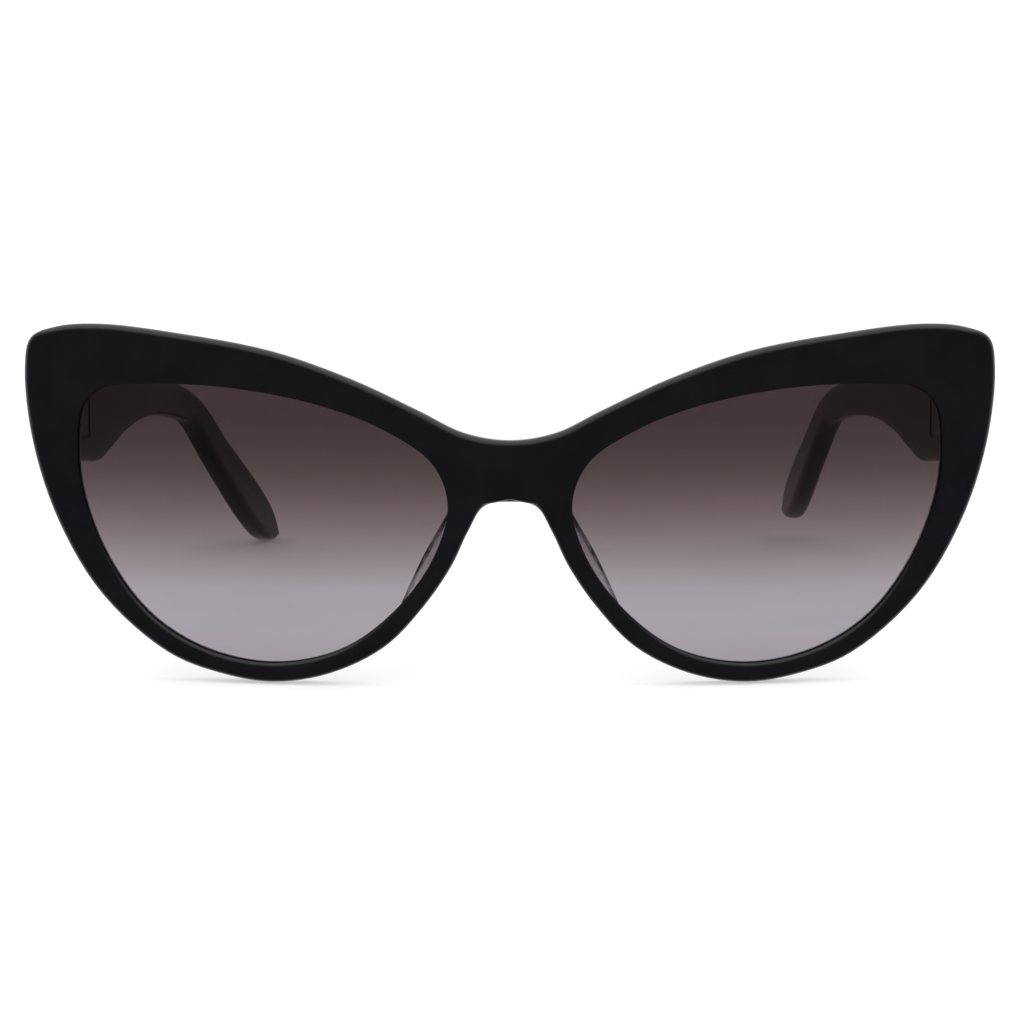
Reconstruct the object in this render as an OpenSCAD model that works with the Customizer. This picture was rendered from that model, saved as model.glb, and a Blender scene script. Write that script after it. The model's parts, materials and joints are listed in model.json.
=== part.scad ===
// Cat eye sunglasses: a curved acetate front, two tinted lenses, clear glued nose pads and two
// temples on five-barrel hinges. The glasses stand open on a table: +Z is up, the front faces -Y,
// X runs from the wearer's right (-X) to the wearer's left (+X).
// Everything is first drawn upright ("design frame": the bridge's front face at y = 0, the lowest
// point of the rims at z = 0) and the whole assembly is then leaned back onto its temple tips.

/* [Lenses] */
// Width of the box round one lens opening
lens_w = 56; // [48:0.2:62]
// Height of the box round one lens opening
lens_h = 41.8; // [34:0.2:48]
// Gap between the two lens openings, across the nose
lens_gap = 18.6; // [16:0.2:24]
// Thickness of a lens
lens_t = 2; // [1.4:0.1:2.4]
// How far a lens reaches into the groove of its rim
groove_d = 0.7; // [0.5:0.1:1]
// Clearance between a lens and its groove
lens_clear = 0.04; // [0.02:0.01:0.1]

/* [Front] */
// Thickness of the front sheet
front_t = 4.4; // [4:0.1:6]
// Radius to which the front is bent
front_r = 260; // [200:5:400]
// Height of the nose arch above the lowest point of the rims
arch_z = 27.2; // [22:0.5:32]
// Height of the bridge, from the arch to its top edge
bridge_h = 9.2; // [6:0.2:12]
// Width of the rim under a lens
rim_low = 2.9; // [2.4:0.1:5]
// Width of the rim on the nose side of a lens
rim_nose = 3; // [2.8:0.1:5]
// Width of the rim beside the lens, at the temple side
rim_side = 5; // [4:0.1:8]
// Width of the rim over the lens, next to the bridge
brow_w = 5.3; // [4:0.1:8]
// Reach of the raised outer corner beyond the lens
wing_w = 13.6; // [9:0.2:17]
// Thickness of the front behind its face where the hinge sits
end_depth = 8; // [7:0.2:11]

/* [Nose pads] */
// Height of the middle of a pad above the lowest point of the rims
pad_z = 18; // [14:0.5:22]
// Length of a pad from its upper to its lower end
pad_len = 17; // [12:0.5:20]
// How far a pad stands behind the rim
pad_out = 4.6; // [2.5:0.1:7]
// Half the thickness of a pad across the nose
pad_half = 2.2; // [1.8:0.1:3]
// Thickness of the glue between a pad and the front
glue_t = 0.02; // [0.01:0.01:0.05]

/* [Temples] */
// Height of a temple where it meets the front
root_h = 14.4; // [12:0.2:20]
// How much lower the tall part of a temple reaches at its rear end
root_drop = 1.2; // [0:0.2:3]
// Height of a temple's top edge above the top of the lens opening, at the hinge
root_rise = 2.6; // [0:0.2:4]
// Length of the tall part of a temple behind the hinge
root_len = 17; // [14:0.5:24]
// Share of the length from the tall part to the ear over which a temple narrows
taper_share = 0.8; // [0.5:0.05:0.9]
// Height of the narrow part of a temple
shank_h = 6; // [5:0.2:9]
// Thickness of a temple at the hinge
temple_t = 4.4; // [3.8:0.1:5]
// Thickness of a temple from the bend to the tip
tip_t = 3.8; // [3:0.1:4.5]
// Length from the hinge pin to the bend at the ear
straight_len = 84; // [65:1:95]
// Length from the bend to the end of the tip
hook_len = 57; // [40:1:70]
// Greatest height of the tip behind the ear
tip_h = 8; // [6:0.2:12]
// Slope of the straight part, down from square to the front
droop = 3.4; // [0:0.2:6]
// Slope of the tip on the wearer's left, down from square to the front
hook_angle_left = 23.5; // [15:0.5:45]
// Slope of the tip on the wearer's right: each tip is bent to its own ear
hook_angle_right = 28.5; // [15:0.5:45]
// Angle by which the straight part turns inwards
toe_in = 7; // [2:0.2:8]
// Angle by which the tip on the wearer's left turns inwards
hook_toe_left = 4; // [2:0.5:16]
// Angle by which the tip on the wearer's right turns inwards
hook_toe_right = 13.5; // [2:0.5:16]

/* [Hinges] */
// Outer radius of a hinge barrel
barrel_r = 1.4; // [1.2:0.05:1.6]
// Length of one barrel
barrel_h = 1.6; // [1.2:0.1:2.2]
// Gap between two barrels
barrel_gap = 0.1; // [0.06:0.02:0.2]
// Thickness of a hinge leaf
leaf_t = 1; // [0.8:0.1:1.3]
// Width of a leaf on the front
leaf_w = 4.4; // [3.6:0.1:5]
// Length of a leaf on a temple, behind the barrels
leaf_len = 8; // [7:0.5:12]
// Radius of the hinge screw
screw_r = 0.7; // [0.6:0.05:0.8]
// Radius of the hinge screw's head
head_r = 1.05; // [0.9:0.05:1.2]
// Clearance of the screw in the barrels that turn on it
pin_clear = 0.04; // [0.02:0.01:0.08]
// Clearance between the faces that meet at the hinge
joint_gap = 0.2; // [0.15:0.05:0.4]
// Clearance between a leaf and the pocket it is sunk in
seat_clear = 0.03; // [0.02:0.01:0.1]
// Depth of the hinge's middle below the top edge of a temple
hinge_drop = 7; // [6:0.5:9]
// Distance from the lens opening to the inner face of a temple
hinge_in = 1.4; // [1.2:0.1:3]

/* [Core wires] */
// Height of the flat wire inside a temple
wire_h = 2.4; // [1.6:0.2:3]
// Thickness of the flat wire
wire_t = 1.2; // [0.8:0.1:1.4]
// Distance from the end of the wire to the end of the tip
wire_end = 12; // [8:1:25]

/* [Hidden] */

ACETATE = [0.09, 0.085, 0.09];
CLEAR = [0.82, 0.82, 0.83, 0.5];
TINT = [0.42, 0.37, 0.40, 0.7];
GUNMETAL = [0.42, 0.40, 0.38];
STEEL = [0.66, 0.67, 0.69];

BIG = 400;      // longer than the whole object
CURVE_FN = 360; // roundness of the large bends
FINE_FN = 48;   // roundness of the small parts

// ---- curves -------------------------------------------------------------------------------

// Square root of the distance between two points, the step of an even curve through them
function knot(a, b) = sqrt(norm(b - a));

// Point at t between b and c of the smooth curve that runs through a, b, c and d
function curve_point(a, b, c, d, t) =
    let (ab = knot(a, b), bc = knot(b, c), cd = knot(c, d),
         leave = bc * ((b - a) / ab - (c - a) / (ab + bc) + (c - b) / bc),
         reach = bc * ((c - b) / bc - (d - b) / (bc + cd) + (d - c) / cd))
    (2*t*t*t - 3*t*t + 1) * b + (t*t*t - 2*t*t + t) * leave
        + (3*t*t - 2*t*t*t) * c + (t*t*t - t*t) * reach;

// Closed smooth curve through the points, with n steps between two of them
function closed_curve(pts, n) =
    let (m = len(pts))
    [for (i = [0:m - 1], k = [0:n - 1])
        curve_point(pts[(i + m - 1) % m], pts[i], pts[(i + 1) % m], pts[(i + 2) % m], k / n)];

// Open smooth curve through the points, with n steps between two of them
function open_curve(pts, n) =
    let (m = len(pts) - 1,
         before = 2 * pts[0] - pts[1],
         after = 2 * pts[m] - pts[m - 1])
    concat([for (i = [0:m - 1], k = [0:n - 1])
        curve_point(i == 0 ? before : pts[i - 1], pts[i], pts[i + 1],
                    i == m - 1 ? after : pts[i + 2], k / n)], [pts[m]]);

// Unit vector square to the line from a to b, on its right-hand side
function side_of(a, b) = let (v = (b - a) / norm(b - a)) [v[1], -v[0]];

// Closed curve moved outwards by d; its points run anticlockwise
function grown(pts, d) =
    let (m = len(pts))
    [for (i = [0:m - 1]) pts[i] + d * side_of(pts[(i + m - 1) % m], pts[(i + 1) % m])];

// Outline of a ribbon of the given half width along an open line
function ribbon(pts, half) =
    let (m = len(pts) - 1,
         sides = [for (i = [0:m]) side_of(pts[max(i - 1, 0)], pts[min(i + 1, m)])])
    concat([for (i = [0:m]) pts[i] + half * sides[i]],
           [for (i = [m:-1:0]) pts[i] - half * sides[i]]);

// ---- lens and rim outlines, seen from the front as (x, z) --------------------------------------

LENS_STEPS = 4;
RIM_STEPS = 3;

// Point at the given percentages across and up the lens box, for the lens on the +X side
function lens_pt(across, up) =
    [lens_gap/2 + lens_w * across/100, rim_low + lens_h * up/100];

// Lens opening, anticlockwise from the nose
LENS_SHAPE = [
    [0, 57], [4, 37.5], [14.5, 18.5], [28.5, 5], [46.5, 0], [65, 4.5], [80.5, 17], [92.5, 38.5],
    [99, 62], [100, 79], [98.5, 92], [93, 98.5], [80, 100], [57.5, 98.5], [33, 92], [16, 83],
    [4, 71.5]
];
LENS_LINE = closed_curve([for (p = LENS_SHAPE) lens_pt(p[0], p[1])], LENS_STEPS);

// Outer edge of the +X half, anticlockwise from the nose arch: percentages of the lens box for
// a place on the opening, then direction and width of the rim there
RIM_STATIONS = [
    [0, 56.2, 179, rim_nose + 2.4], [0.5, 48.5, 186, rim_nose + 0.4], [4, 37.5, 199, rim_nose],
    [10.5, 23.5, 208, rim_nose - 0.4], [20.5, 11, 226, rim_low], [34, 2.5, 243, rim_low],
    [47, 0, 269, rim_low], [59.5, 2.5, 286, rim_low], [73, 10, 296, rim_low + 0.3],
    [88, 28.5, 326, rim_low + 0.8], [97, 53, 344, rim_side], [100, 77.5, 4, rim_side + 2.2],
    [98, 90, 35, wing_w - 2], [96.5, 93, 46.5, wing_w], [94.5, 95.5, 58.5, wing_w - 1.3],
    [90, 98.5, 77, wing_w - 3.7], [73, 100, 88, brow_w + 2.4], [49, 97, 99, brow_w + 1],
    [29, 90, 111, brow_w], [12.5, 80, 121, brow_w - 0.1], [4, 72, 136, brow_w + 1.2]
];
function rim_pt(s) = lens_pt(s[0], s[1]) + s[3] * [cos(s[2]), sin(s[2])];
RIM_HALF = [for (s = RIM_STATIONS) rim_pt(s)];
function flipped(p) = [-p[0], p[1]];
RIM_LINE = closed_curve(concat([[0, arch_z]], RIM_HALF, [[0, arch_z + bridge_h]],
    [for (i = [len(RIM_HALF) - 1:-1:0]) flipped(RIM_HALF[i])]), RIM_STEPS);

// Depth of the front's face, and of a face d behind it, at a distance x from the middle
function face_y(x, d = 0) = front_r - sqrt(pow(front_r - d, 2) - x*x);

// ---- hinge and temple places, in the design frame ----------------------------------------------

lens_out = lens_gap/2 + lens_w;                  // temple side of the lens opening
temple_x = lens_out + hinge_in;                  // inner face of the temple at the hinge
root_top = rim_low + lens_h + root_rise;         // top edge of the temple at the hinge
root_low = root_top - root_h - root_drop;        // lowest corner of its tall part
pin_x = temple_x + barrel_r/2;
end_y = face_y(pin_x) + end_depth;               // flat back of the front's end piece
butt_y = end_y + joint_gap;                      // front end of the temple
pin_y = butt_y + barrel_r;
hinge_z = root_top - hinge_drop;
stack_h = 5*barrel_h + 4*barrel_gap;

// Length over which the tall part narrows; it ends well before the bend at the ear
taper_len = (straight_len - root_len - 12) * taper_share;

// Height of the top edge of the straight part, at a distance s behind the pin
function top_z(s) = root_top - s * tan(droop);
function low_pt(s) = [s, top_z(s) - shank_h];
// Point of the lower edge where the tall part narrows, at shares of its length and of its rise
function taper_pt(along, up) = [root_len + taper_len*along,
    root_low + up * (low_pt(root_len + taper_len)[1] - root_low)];
bend = [straight_len, top_z(straight_len) - shank_h/2];
// Point at a distance h past the bend and n above the middle line of a tip with slope a, as (s, z)
function hook(a, h, n) = bend + h * [cos(a), -sin(a)] + n * [sin(a), cos(a)];

// Side of a temple as (distance behind the pin, height), for a tip with slope a
TEMPLE_STEPS = 4;
function side_curve(a) = open_curve([
    [-barrel_r, root_top], [straight_len/3, top_z(straight_len/3)],
    [straight_len*2/3, top_z(straight_len*2/3)], [straight_len - 8, top_z(straight_len - 8)],
    hook(a, hook_len*0.1, shank_h*0.52), hook(a, hook_len*0.38, shank_h*0.58),
    hook(a, hook_len - 15, tip_h/2), hook(a, hook_len - 6, tip_h*0.41),
    hook(a, hook_len - 1.6, tip_h*0.2), hook(a, hook_len, 0), hook(a, hook_len - 1.6, -tip_h*0.2),
    hook(a, hook_len - 6, -tip_h*0.41), hook(a, hook_len - 15, -tip_h/2),
    hook(a, hook_len*0.38, -shank_h*0.55), hook(a, hook_len*0.05, -shank_h*0.5),
    low_pt(straight_len - 9), low_pt(root_len + taper_len),
    taper_pt(0.66, 0.95), taper_pt(0.35, 0.63), taper_pt(0.18, 0.32), [root_len, root_low]
], TEMPLE_STEPS);

// Inner face of a temple from above, moved outwards by shift, as (x, distance behind the pin)
bend_x = temple_x - (straight_len + barrel_r) * tan(toe_in);
tip_reach = hook_len + tip_h;                    // past the end of the tip
function inner_face(toe, shift) = open_curve([
    [temple_x + shift[0], -barrel_r],
    [(temple_x + bend_x)/2 + (shift[0] + shift[1])/2, (straight_len - barrel_r)/2],
    [bend_x + shift[1], straight_len],
    [bend_x - tip_reach * tan(toe) + shift[1], straight_len + tip_reach]
], 6);
function reversed(a) = [for (i = [len(a) - 1:-1:0]) a[i]];

// ---- how the glasses stand ------------------------------------------------------------------

// The rear lower edge of the rims and the lower of the two tips touch the table
rest_y = face_y(lens_pt(47, 0)[0], front_t);
TEMPLE_SIDES = concat(side_curve(hook_angle_left), side_curve(hook_angle_right));
lean = min([for (p = TEMPLE_SIDES) if (p[0] > straight_len) atan2(p[1], pin_y + p[0] - rest_y)]);
function leaned(y, z) = [y*cos(lean) + z*sin(lean), z*cos(lean) - y*sin(lean)];
RIM_BACK = [for (p = RIM_LINE) leaned(face_y(p[0], front_t), p[1])];
RIM_FACE = [for (p = RIM_LINE) leaned(face_y(p[0]), p[1])];
TIPS = [for (p = TEMPLE_SIDES) leaned(pin_y + p[0], p[1])];
stand_z = min([for (p = concat(RIM_BACK, TIPS)) p[1]]);
stand_y = (min([for (p = RIM_FACE) p[0]]) + max([for (p = TIPS) p[0]])) / 2;

module stand() {
    translate([0, -stand_y, -stand_z]) rotate([-lean, 0, 0]) children();
}

// Draws the children for the wearer's left (+X), or mirrored for the wearer's right
module on_side(left) {
    stand() mirror([left ? 0 : 1, 0, 0]) children();
}

// ---- shared shapes ----------------------------------------------------------------------------

// Front view outline cut through from y0 to y1
module front_prism(pts, y0, y1) {
    translate([0, y1, 0]) rotate([90, 0, 0]) linear_extrude(y1 - y0) polygon(pts);
}

// Round bar about the bend's axis whose near side lies d behind the front's face
module bent_bar(d) {
    translate([0, front_r, -BIG/2]) cylinder(r = front_r - d, h = BIG, $fn = CURVE_FN);
}

// Sheet bent like the front, between depths d0 and d1 behind its face
module bent_sheet(pts, d0, d1) {
    intersection() {
        front_prism(pts, -1, end_y + 10);
        difference() {
            bent_bar(d0);
            bent_bar(d1);
        }
    }
}

// Cylinder along the hinge pin, from z to z + h
module on_pin(r, z, h) {
    translate([pin_x, pin_y, z]) cylinder(r = r, h = h, $fn = FINE_FN);
}

// Plate with rounded corners in the X-Y plane, centred, standing from 0 to h
module round_plate(w, d, h, r) {
    translate([-w/2 + r, -d/2, 0]) cube([w - 2*r, d, h]);
    translate([-w/2, -d/2 + r, 0]) cube([w, d - 2*r, h]);
    for (x = [r - w/2, w/2 - r], y = [r - d/2, d/2 - r])
        translate([x, y, 0]) cylinder(r = r, h = h, $fn = FINE_FN);
}

// Height of the lower end of barrel i, counted from the bottom
function barrel_z(i) = hinge_z - stack_h/2 + i * (barrel_h + barrel_gap);

// ---- front ------------------------------------------------------------------------------------

lens_d0 = (front_t - lens_t)/2 - 0.5;            // face of the lens behind the front's face
LENS_EDGE = grown(LENS_LINE, groove_d);
end_x = lens_out + hinge_in/2;                   // inner side of the end piece

module end_piece() {
    intersection() {
        front_prism(RIM_LINE, -1, end_y);
        bent_bar(front_t/2);
        translate([end_x, 0, root_top - root_h]) cube([BIG, BIG, root_h]);
    }
}

module lens_cut() {
    front_prism(LENS_LINE, -1, end_y + 10);
    bent_sheet(grown(LENS_LINE, groove_d + lens_clear), lens_d0 - lens_clear,
               lens_d0 + lens_t + lens_clear);
}

module both_sides() {
    children();
    mirror([1, 0, 0]) children();
}

module front_frame() {
    color(ACETATE) stand() difference() {
        union() {
            bent_sheet(RIM_LINE, 0, front_t);
            both_sides() end_piece();
        }
        both_sides() {
            lens_cut();
            front_leaf_plate(seat_clear);
            front_leaf_studs(seat_clear);
        }
    }
}

module lens() {
    bent_sheet(LENS_EDGE, lens_d0, lens_d0 + lens_t);
}

module lens_left() { color(TINT) on_side(true) lens(); }
module lens_right() { color(TINT) on_side(false) lens(); }

// ---- nose pads --------------------------------------------------------------------------------

// Middle of the rim at height z on the nose side, and the pad's own slant
PAD_TOP_X = lens_gap/2 - rim_nose/2 + 0.4;
PAD_MID_X = lens_gap/2 + rim_nose/2 + 0.2;
PAD_LOW_X = lens_gap/2 + rim_nose + 3.2;

module nose_pad() {
    difference() {
        hull() {
            translate([PAD_TOP_X, face_y(0, front_t) + 0.4, pad_z + pad_len/2 - pad_half])
                sphere(r = pad_half*0.7, $fn = 32);
            translate([PAD_MID_X, face_y(0, front_t) + pad_out - pad_half, pad_z])
                sphere(r = pad_half, $fn = 32);
            translate([PAD_LOW_X, face_y(0, front_t) + 0.8, pad_z - pad_len/2 + pad_half*0.55])
                sphere(r = pad_half*0.55, $fn = 32);
        }
        difference() {
            translate([0, -BIG/4, 0]) cube([BIG/2, BIG/2 + 40, BIG/2]);
            bent_bar(front_t + glue_t);
        }
    }
}

module nose_pad_left() { color(CLEAR) on_side(true) nose_pad(); }
module nose_pad_right() { color(CLEAR) on_side(false) nose_pad(); }

// ---- hinges -----------------------------------------------------------------------------------

LEAF_H = stack_h + 1.2;
WEB_W = barrel_r*1.4;
stud_r = 0.8;
stud_l = 2.6;
front_leaf_x = pin_x - barrel_r + leaf_w/2 + 0.4;

// Leaf of the front, flush with the end piece's back; grow widens it for its pocket
module front_leaf_plate(grow) {
    translate([front_leaf_x, end_y, hinge_z]) rotate([90, 0, 0]) translate([0, 0, -grow])
        round_plate(leaf_w + 2*grow, LEAF_H + 2*grow, leaf_t + 2*grow, 0.6 + grow);
}

// Studs that anchor the leaf in the acetate
module front_leaf_studs(grow) {
    for (side = [-1, 1])
        translate([front_leaf_x + 0.3, end_y - leaf_t/2, hinge_z + side*LEAF_H/3.4])
            rotate([90, 0, 0]) cylinder(r = stud_r + grow, h = leaf_t/2 + stud_l + grow, $fn = FINE_FN);
}

// Three barrels on the front: the top one sinks the screw's head, the bottom one holds its thread
module hinge_front_leaf() {
    head_z = barrel_z(4) + barrel_h - 0.5;
    difference() {
        union() {
            front_leaf_plate(0);
            front_leaf_studs(0);
            for (i = [0, 2, 4]) {
                on_pin(barrel_r, barrel_z(i), barrel_h);
                translate([pin_x - WEB_W/2, end_y - leaf_t/2, barrel_z(i)])
                    cube([WEB_W, pin_y - end_y + leaf_t/2, barrel_h]);
            }
        }
        on_pin(screw_r + pin_clear, barrel_z(0) - 1, stack_h + 2);
        on_pin(head_r + pin_clear, head_z, barrel_h);
    }
}

// Two barrels on a leaf sunk in the temple's inner face, with one anchor behind it
ANCHOR_L = 2.4;
anchor_s = leaf_len - 1.4;
module temple_leaf_turned() {
    translate([pin_x, pin_y, 0]) rotate([0, 0, toe_in]) children();
}
leaf_v = temple_x - pin_x;                       // inner face of the temple, seen from the pin
anchor_v = temple_t/2 + leaf_v + wire_t/2;

module temple_leaf_body(grow) {
    temple_leaf_turned() {
        translate([leaf_v - grow, barrel_r + (leaf_len - barrel_r)/2, hinge_z])
            rotate([0, 90, 0])
            round_plate(LEAF_H - 1 + 2*grow, leaf_len - barrel_r + 2*grow, leaf_t + 2*grow, 0.6 + grow);
        translate([leaf_v + leaf_t/2, anchor_s - ANCHOR_L/2 - grow, hinge_z - wire_h*0.75 - grow])
            cube([anchor_v - leaf_v - leaf_t/2 + grow, ANCHOR_L + 2*grow, wire_h*1.5 + 2*grow]);
    }
}

module hinge_temple_leaf() {
    difference() {
        union() {
            temple_leaf_body(0);
            for (i = [1, 3]) {
                on_pin(barrel_r, barrel_z(i), barrel_h);
                temple_leaf_turned() translate([leaf_v, 0, barrel_z(i)])
                    cube([leaf_t, barrel_r + 0.6, barrel_h]);
            }
        }
        on_pin(screw_r + pin_clear, barrel_z(0) - 1, stack_h + 2);
    }
}

// Screw with a slotted head; it turns with the front
module hinge_screw() {
    head_z = barrel_z(4) + barrel_h - 0.5;
    head_h = 0.8;
    difference() {
        union() {
            on_pin(screw_r, barrel_z(0) - 0.2, stack_h);
            on_pin(head_r, head_z, head_h);
        }
        translate([pin_x - 2, pin_y - 0.15, head_z + head_h - 0.35]) cube([4, 0.3, 1]);
    }
}

module hinge_front_leaf_left() { color(GUNMETAL) on_side(true) hinge_front_leaf(); }
module hinge_front_leaf_right() { color(GUNMETAL) on_side(false) hinge_front_leaf(); }
module hinge_temple_leaf_left() { color(GUNMETAL) on_side(true) hinge_temple_leaf(); }
module hinge_temple_leaf_right() { color(GUNMETAL) on_side(false) hinge_temple_leaf(); }
module hinge_screw_left() { color(STEEL) on_side(true) hinge_screw(); }
module hinge_screw_right() { color(STEEL) on_side(false) hinge_screw(); }

// ---- temples ----------------------------------------------------------------------------------

// Solid that has one outline from the side, as (distance behind the pin, height), and another
// from above, as (x, distance behind the pin)
module two_view_solid(side, plan) {
    translate([0, pin_y, 0]) intersection() {
        rotate([90, 0, 90]) linear_extrude(BIG/2) polygon(side);
        translate([0, 0, -BIG/4]) linear_extrude(BIG/2) polygon(plan);
    }
}

// Flat wire from the back of the anchor to the tip, along the middle of the temple
wire_start = (anchor_s + ANCHOR_L/2)*cos(toe_in) + anchor_v*sin(toe_in) + 2*seat_clear;

module core_wire(angle, toe, grow) {
    middle = open_curve([
        [wire_start, hinge_z], [straight_len*0.5, (hinge_z + bend[1])/2],
        bend - [6, 0], hook(angle, 6, 0), hook(angle, hook_len*0.5, 0),
        hook(angle, hook_len - wire_end, 0)
    ], 4);
    two_view_solid(ribbon(middle, wire_h/2 + grow),
                   ribbon(inner_face(toe, [temple_t/2, tip_t/2]), wire_t/2 + grow));
}

// Room for the barrels, open towards the nose so that the temple can fold
module barrel_pocket() {
    room = barrel_r + joint_gap;
    z0 = hinge_z - stack_h/2 - 0.5;
    h = stack_h + 1;
    on_pin(room, z0, h);
    translate([temple_x - 5, butt_y - 1, z0]) cube([pin_x + WEB_W/2 + joint_gap - temple_x + 5,
                                                    pin_y - butt_y + 1, h]);
    translate([temple_x - 5, butt_y - 1, z0]) cube([pin_x - temple_x + 5, barrel_r + 1 + room, h]);
}

module temple(angle, toe) {
    difference() {
        two_view_solid(
            concat(side_curve(angle), [[-barrel_r, root_top - root_h]]),
            concat(inner_face(toe, [0, 0]), reversed(inner_face(toe, [temple_t, tip_t]))));
        barrel_pocket();
        temple_leaf_body(seat_clear);
        core_wire(angle, toe, seat_clear);
    }
}

module temple_left() { color(ACETATE) on_side(true) temple(hook_angle_left, hook_toe_left); }
module temple_right() { color(ACETATE) on_side(false) temple(hook_angle_right, hook_toe_right); }
module temple_core_wire_left() {
    color(STEEL) on_side(true) core_wire(hook_angle_left, hook_toe_left, 0);
}
module temple_core_wire_right() {
    color(STEEL) on_side(false) core_wire(hook_angle_right, hook_toe_right, 0);
}

front_frame();
lens_left();
lens_right();
nose_pad_left();
nose_pad_right();
hinge_front_leaf_left();
hinge_front_leaf_right();
hinge_screw_left();
hinge_screw_right();
temple_left();
temple_right();
hinge_temple_leaf_left();
hinge_temple_leaf_right();
temple_core_wire_left();
temple_core_wire_right();
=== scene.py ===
"""Cat eye sunglasses: black acetate front and temples, tinted lenses, clear nose pads, sunk hinges.

Every piece is drawn upright in millimetres, in the design frame: x across the face, y back from
the middle of the front's face, z up from the lowest point of the rims. Stand then leans it back
onto the temple tips and turns it to metres, which puts it exactly where the frame holds it.
"""

import json
import logging
import math
from collections.abc import Iterable, Sequence
from dataclasses import dataclass, field
from enum import Enum
from itertools import pairwise

import bmesh
import bpy
from mathutils import Matrix, Vector


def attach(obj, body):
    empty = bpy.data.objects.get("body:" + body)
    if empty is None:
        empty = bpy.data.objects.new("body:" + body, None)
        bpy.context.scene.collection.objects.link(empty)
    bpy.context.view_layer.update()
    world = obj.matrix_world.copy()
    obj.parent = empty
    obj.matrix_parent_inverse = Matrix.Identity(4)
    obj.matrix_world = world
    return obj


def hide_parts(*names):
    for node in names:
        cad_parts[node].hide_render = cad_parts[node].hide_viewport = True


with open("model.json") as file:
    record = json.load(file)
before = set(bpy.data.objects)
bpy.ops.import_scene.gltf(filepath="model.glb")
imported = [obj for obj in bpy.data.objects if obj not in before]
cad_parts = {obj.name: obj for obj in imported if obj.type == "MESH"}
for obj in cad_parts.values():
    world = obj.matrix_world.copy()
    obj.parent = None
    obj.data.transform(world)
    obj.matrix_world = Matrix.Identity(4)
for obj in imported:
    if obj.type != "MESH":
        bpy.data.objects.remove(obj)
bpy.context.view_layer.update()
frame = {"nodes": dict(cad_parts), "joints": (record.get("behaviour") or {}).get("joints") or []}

LOG = logging.getLogger("sunglasses")
MM = 0.001
TINY = 1e-4
AXIS_X = Vector((1.0, 0.0, 0.0))
AXIS_Y = Vector((0.0, 1.0, 0.0))
AXIS_Z = Vector((0.0, 0.0, 1.0))


class Side(Enum):
    """Side of the wearer's head; the value is the sign of x there."""

    LEFT = 1
    RIGHT = -1

    @property
    def word(self) -> str:
        """Ending of the names of the pieces on this side."""
        return self.name.lower()


# ---- lines ---------------------------------------------------------------------------------


def curve_point(span: Sequence[Vector], t: float) -> Vector:
    """Finds a point between the two middle ones of four on the smooth curve through them.

    Args:
        span: Four points that follow each other on the curve.
        t: Share of the way from the second point to the third.

    Returns:
        The point on the curve.
    """
    a, b, c, d = span
    ab, bc, cd = (math.sqrt((q - p).length) for p, q in pairwise(span))
    leave = bc * ((b - a) / ab - (c - a) / (ab + bc) + (c - b) / bc)
    reach = bc * ((c - b) / bc - (d - b) / (bc + cd) + (d - c) / cd)
    square, cube = t * t, t * t * t
    return (
        (2 * cube - 3 * square + 1) * b
        + (cube - 2 * square + t) * leave
        + (3 * square - 2 * cube) * c
        + (cube - square) * reach
    )


def smooth_line(points: Sequence[Vector], steps: int, closed: bool = False) -> list[Vector]:
    """Draws an evenly running curve through the points.

    Args:
        points: Points that the curve runs through.
        steps: Number of pieces that each stretch between two points is drawn in.
        closed: Whether the curve runs back to its first point.

    Returns:
        The points of the fine line; a closed one doesn't repeat its first point.
    """
    if closed:
        ring = [points[-1], *points, points[0], points[1]]
    else:
        ring = [2 * points[0] - points[1], *points, 2 * points[-1] - points[-2]]
    line = [
        curve_point(ring[i : i + 4], k / steps) for i in range(len(ring) - 3) for k in range(steps)
    ]
    return line if closed else [*line, points[-1].copy()]


def grown(line: Sequence[Vector], distance: float) -> list[Vector]:
    """Moves a closed line outwards; its points run anticlockwise.

    Args:
        line: Points of the closed line, as (x, z).
        distance: How far it moves.

    Returns:
        The moved points.
    """
    moved = []
    for i, point in enumerate(line):
        along = (line[(i + 1) % len(line)] - line[i - 1]).normalized()
        moved.append(point + distance * Vector((along.y, -along.x)))
    return moved


def value_at(line: Sequence[Vector], place: float) -> float:
    """Reads a line of (place, value) points, which run upwards in place.

    Args:
        line: Points of the line.
        place: Where it is read.

    Returns:
        The value there; the end stretches run on past their ends.
    """
    start, end = next(((p, q) for p, q in pairwise(line) if place <= q.x), (line[-2], line[-1]))
    return start.y + (end.y - start.y) * (place - start.x) / (end.x - start.x)


# ---- mesh work -----------------------------------------------------------------------------


def new_shell(
    bm: bmesh.types.BMesh, faces: Iterable[bmesh.types.BMFace], shift: Vector
) -> list[bmesh.types.BMVert]:
    """Gives a flat sheet its thickness.

    Args:
        bm: Mesh that holds the sheet.
        faces: Faces of the sheet, which stay as one side of the solid.
        shift: From that side to the other.

    Returns:
        The vertices of the new side.
    """
    made = bmesh.ops.extrude_face_region(bm, geom=list(faces), use_keep_orig=True)
    verts = [g for g in made["geom"] if isinstance(g, bmesh.types.BMVert)]
    bmesh.ops.translate(bm, verts=verts, vec=shift)
    bmesh.ops.recalc_face_normals(bm, faces=bm.faces[:])
    return verts


def rounded(
    bm: bmesh.types.BMesh, edges: Iterable[bmesh.types.BMEdge], width: float, segments: int
) -> list[bmesh.types.BMVert]:
    """Rounds edges.

    Args:
        bm: Mesh that holds them.
        edges: The edges.
        width: How far from each edge the rounding starts.
        segments: Number of strips across the rounding.

    Returns:
        The vertices of the rounding.
    """
    made = bmesh.ops.bevel(
        bm,
        geom=list(edges),
        offset=width,
        offset_type="OFFSET",
        affect="EDGES",
        segments=segments,
        profile=0.5,
        material=-1,
        clamp_overlap=False,
        loop_slide=True,
    )
    return made["verts"]


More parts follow.
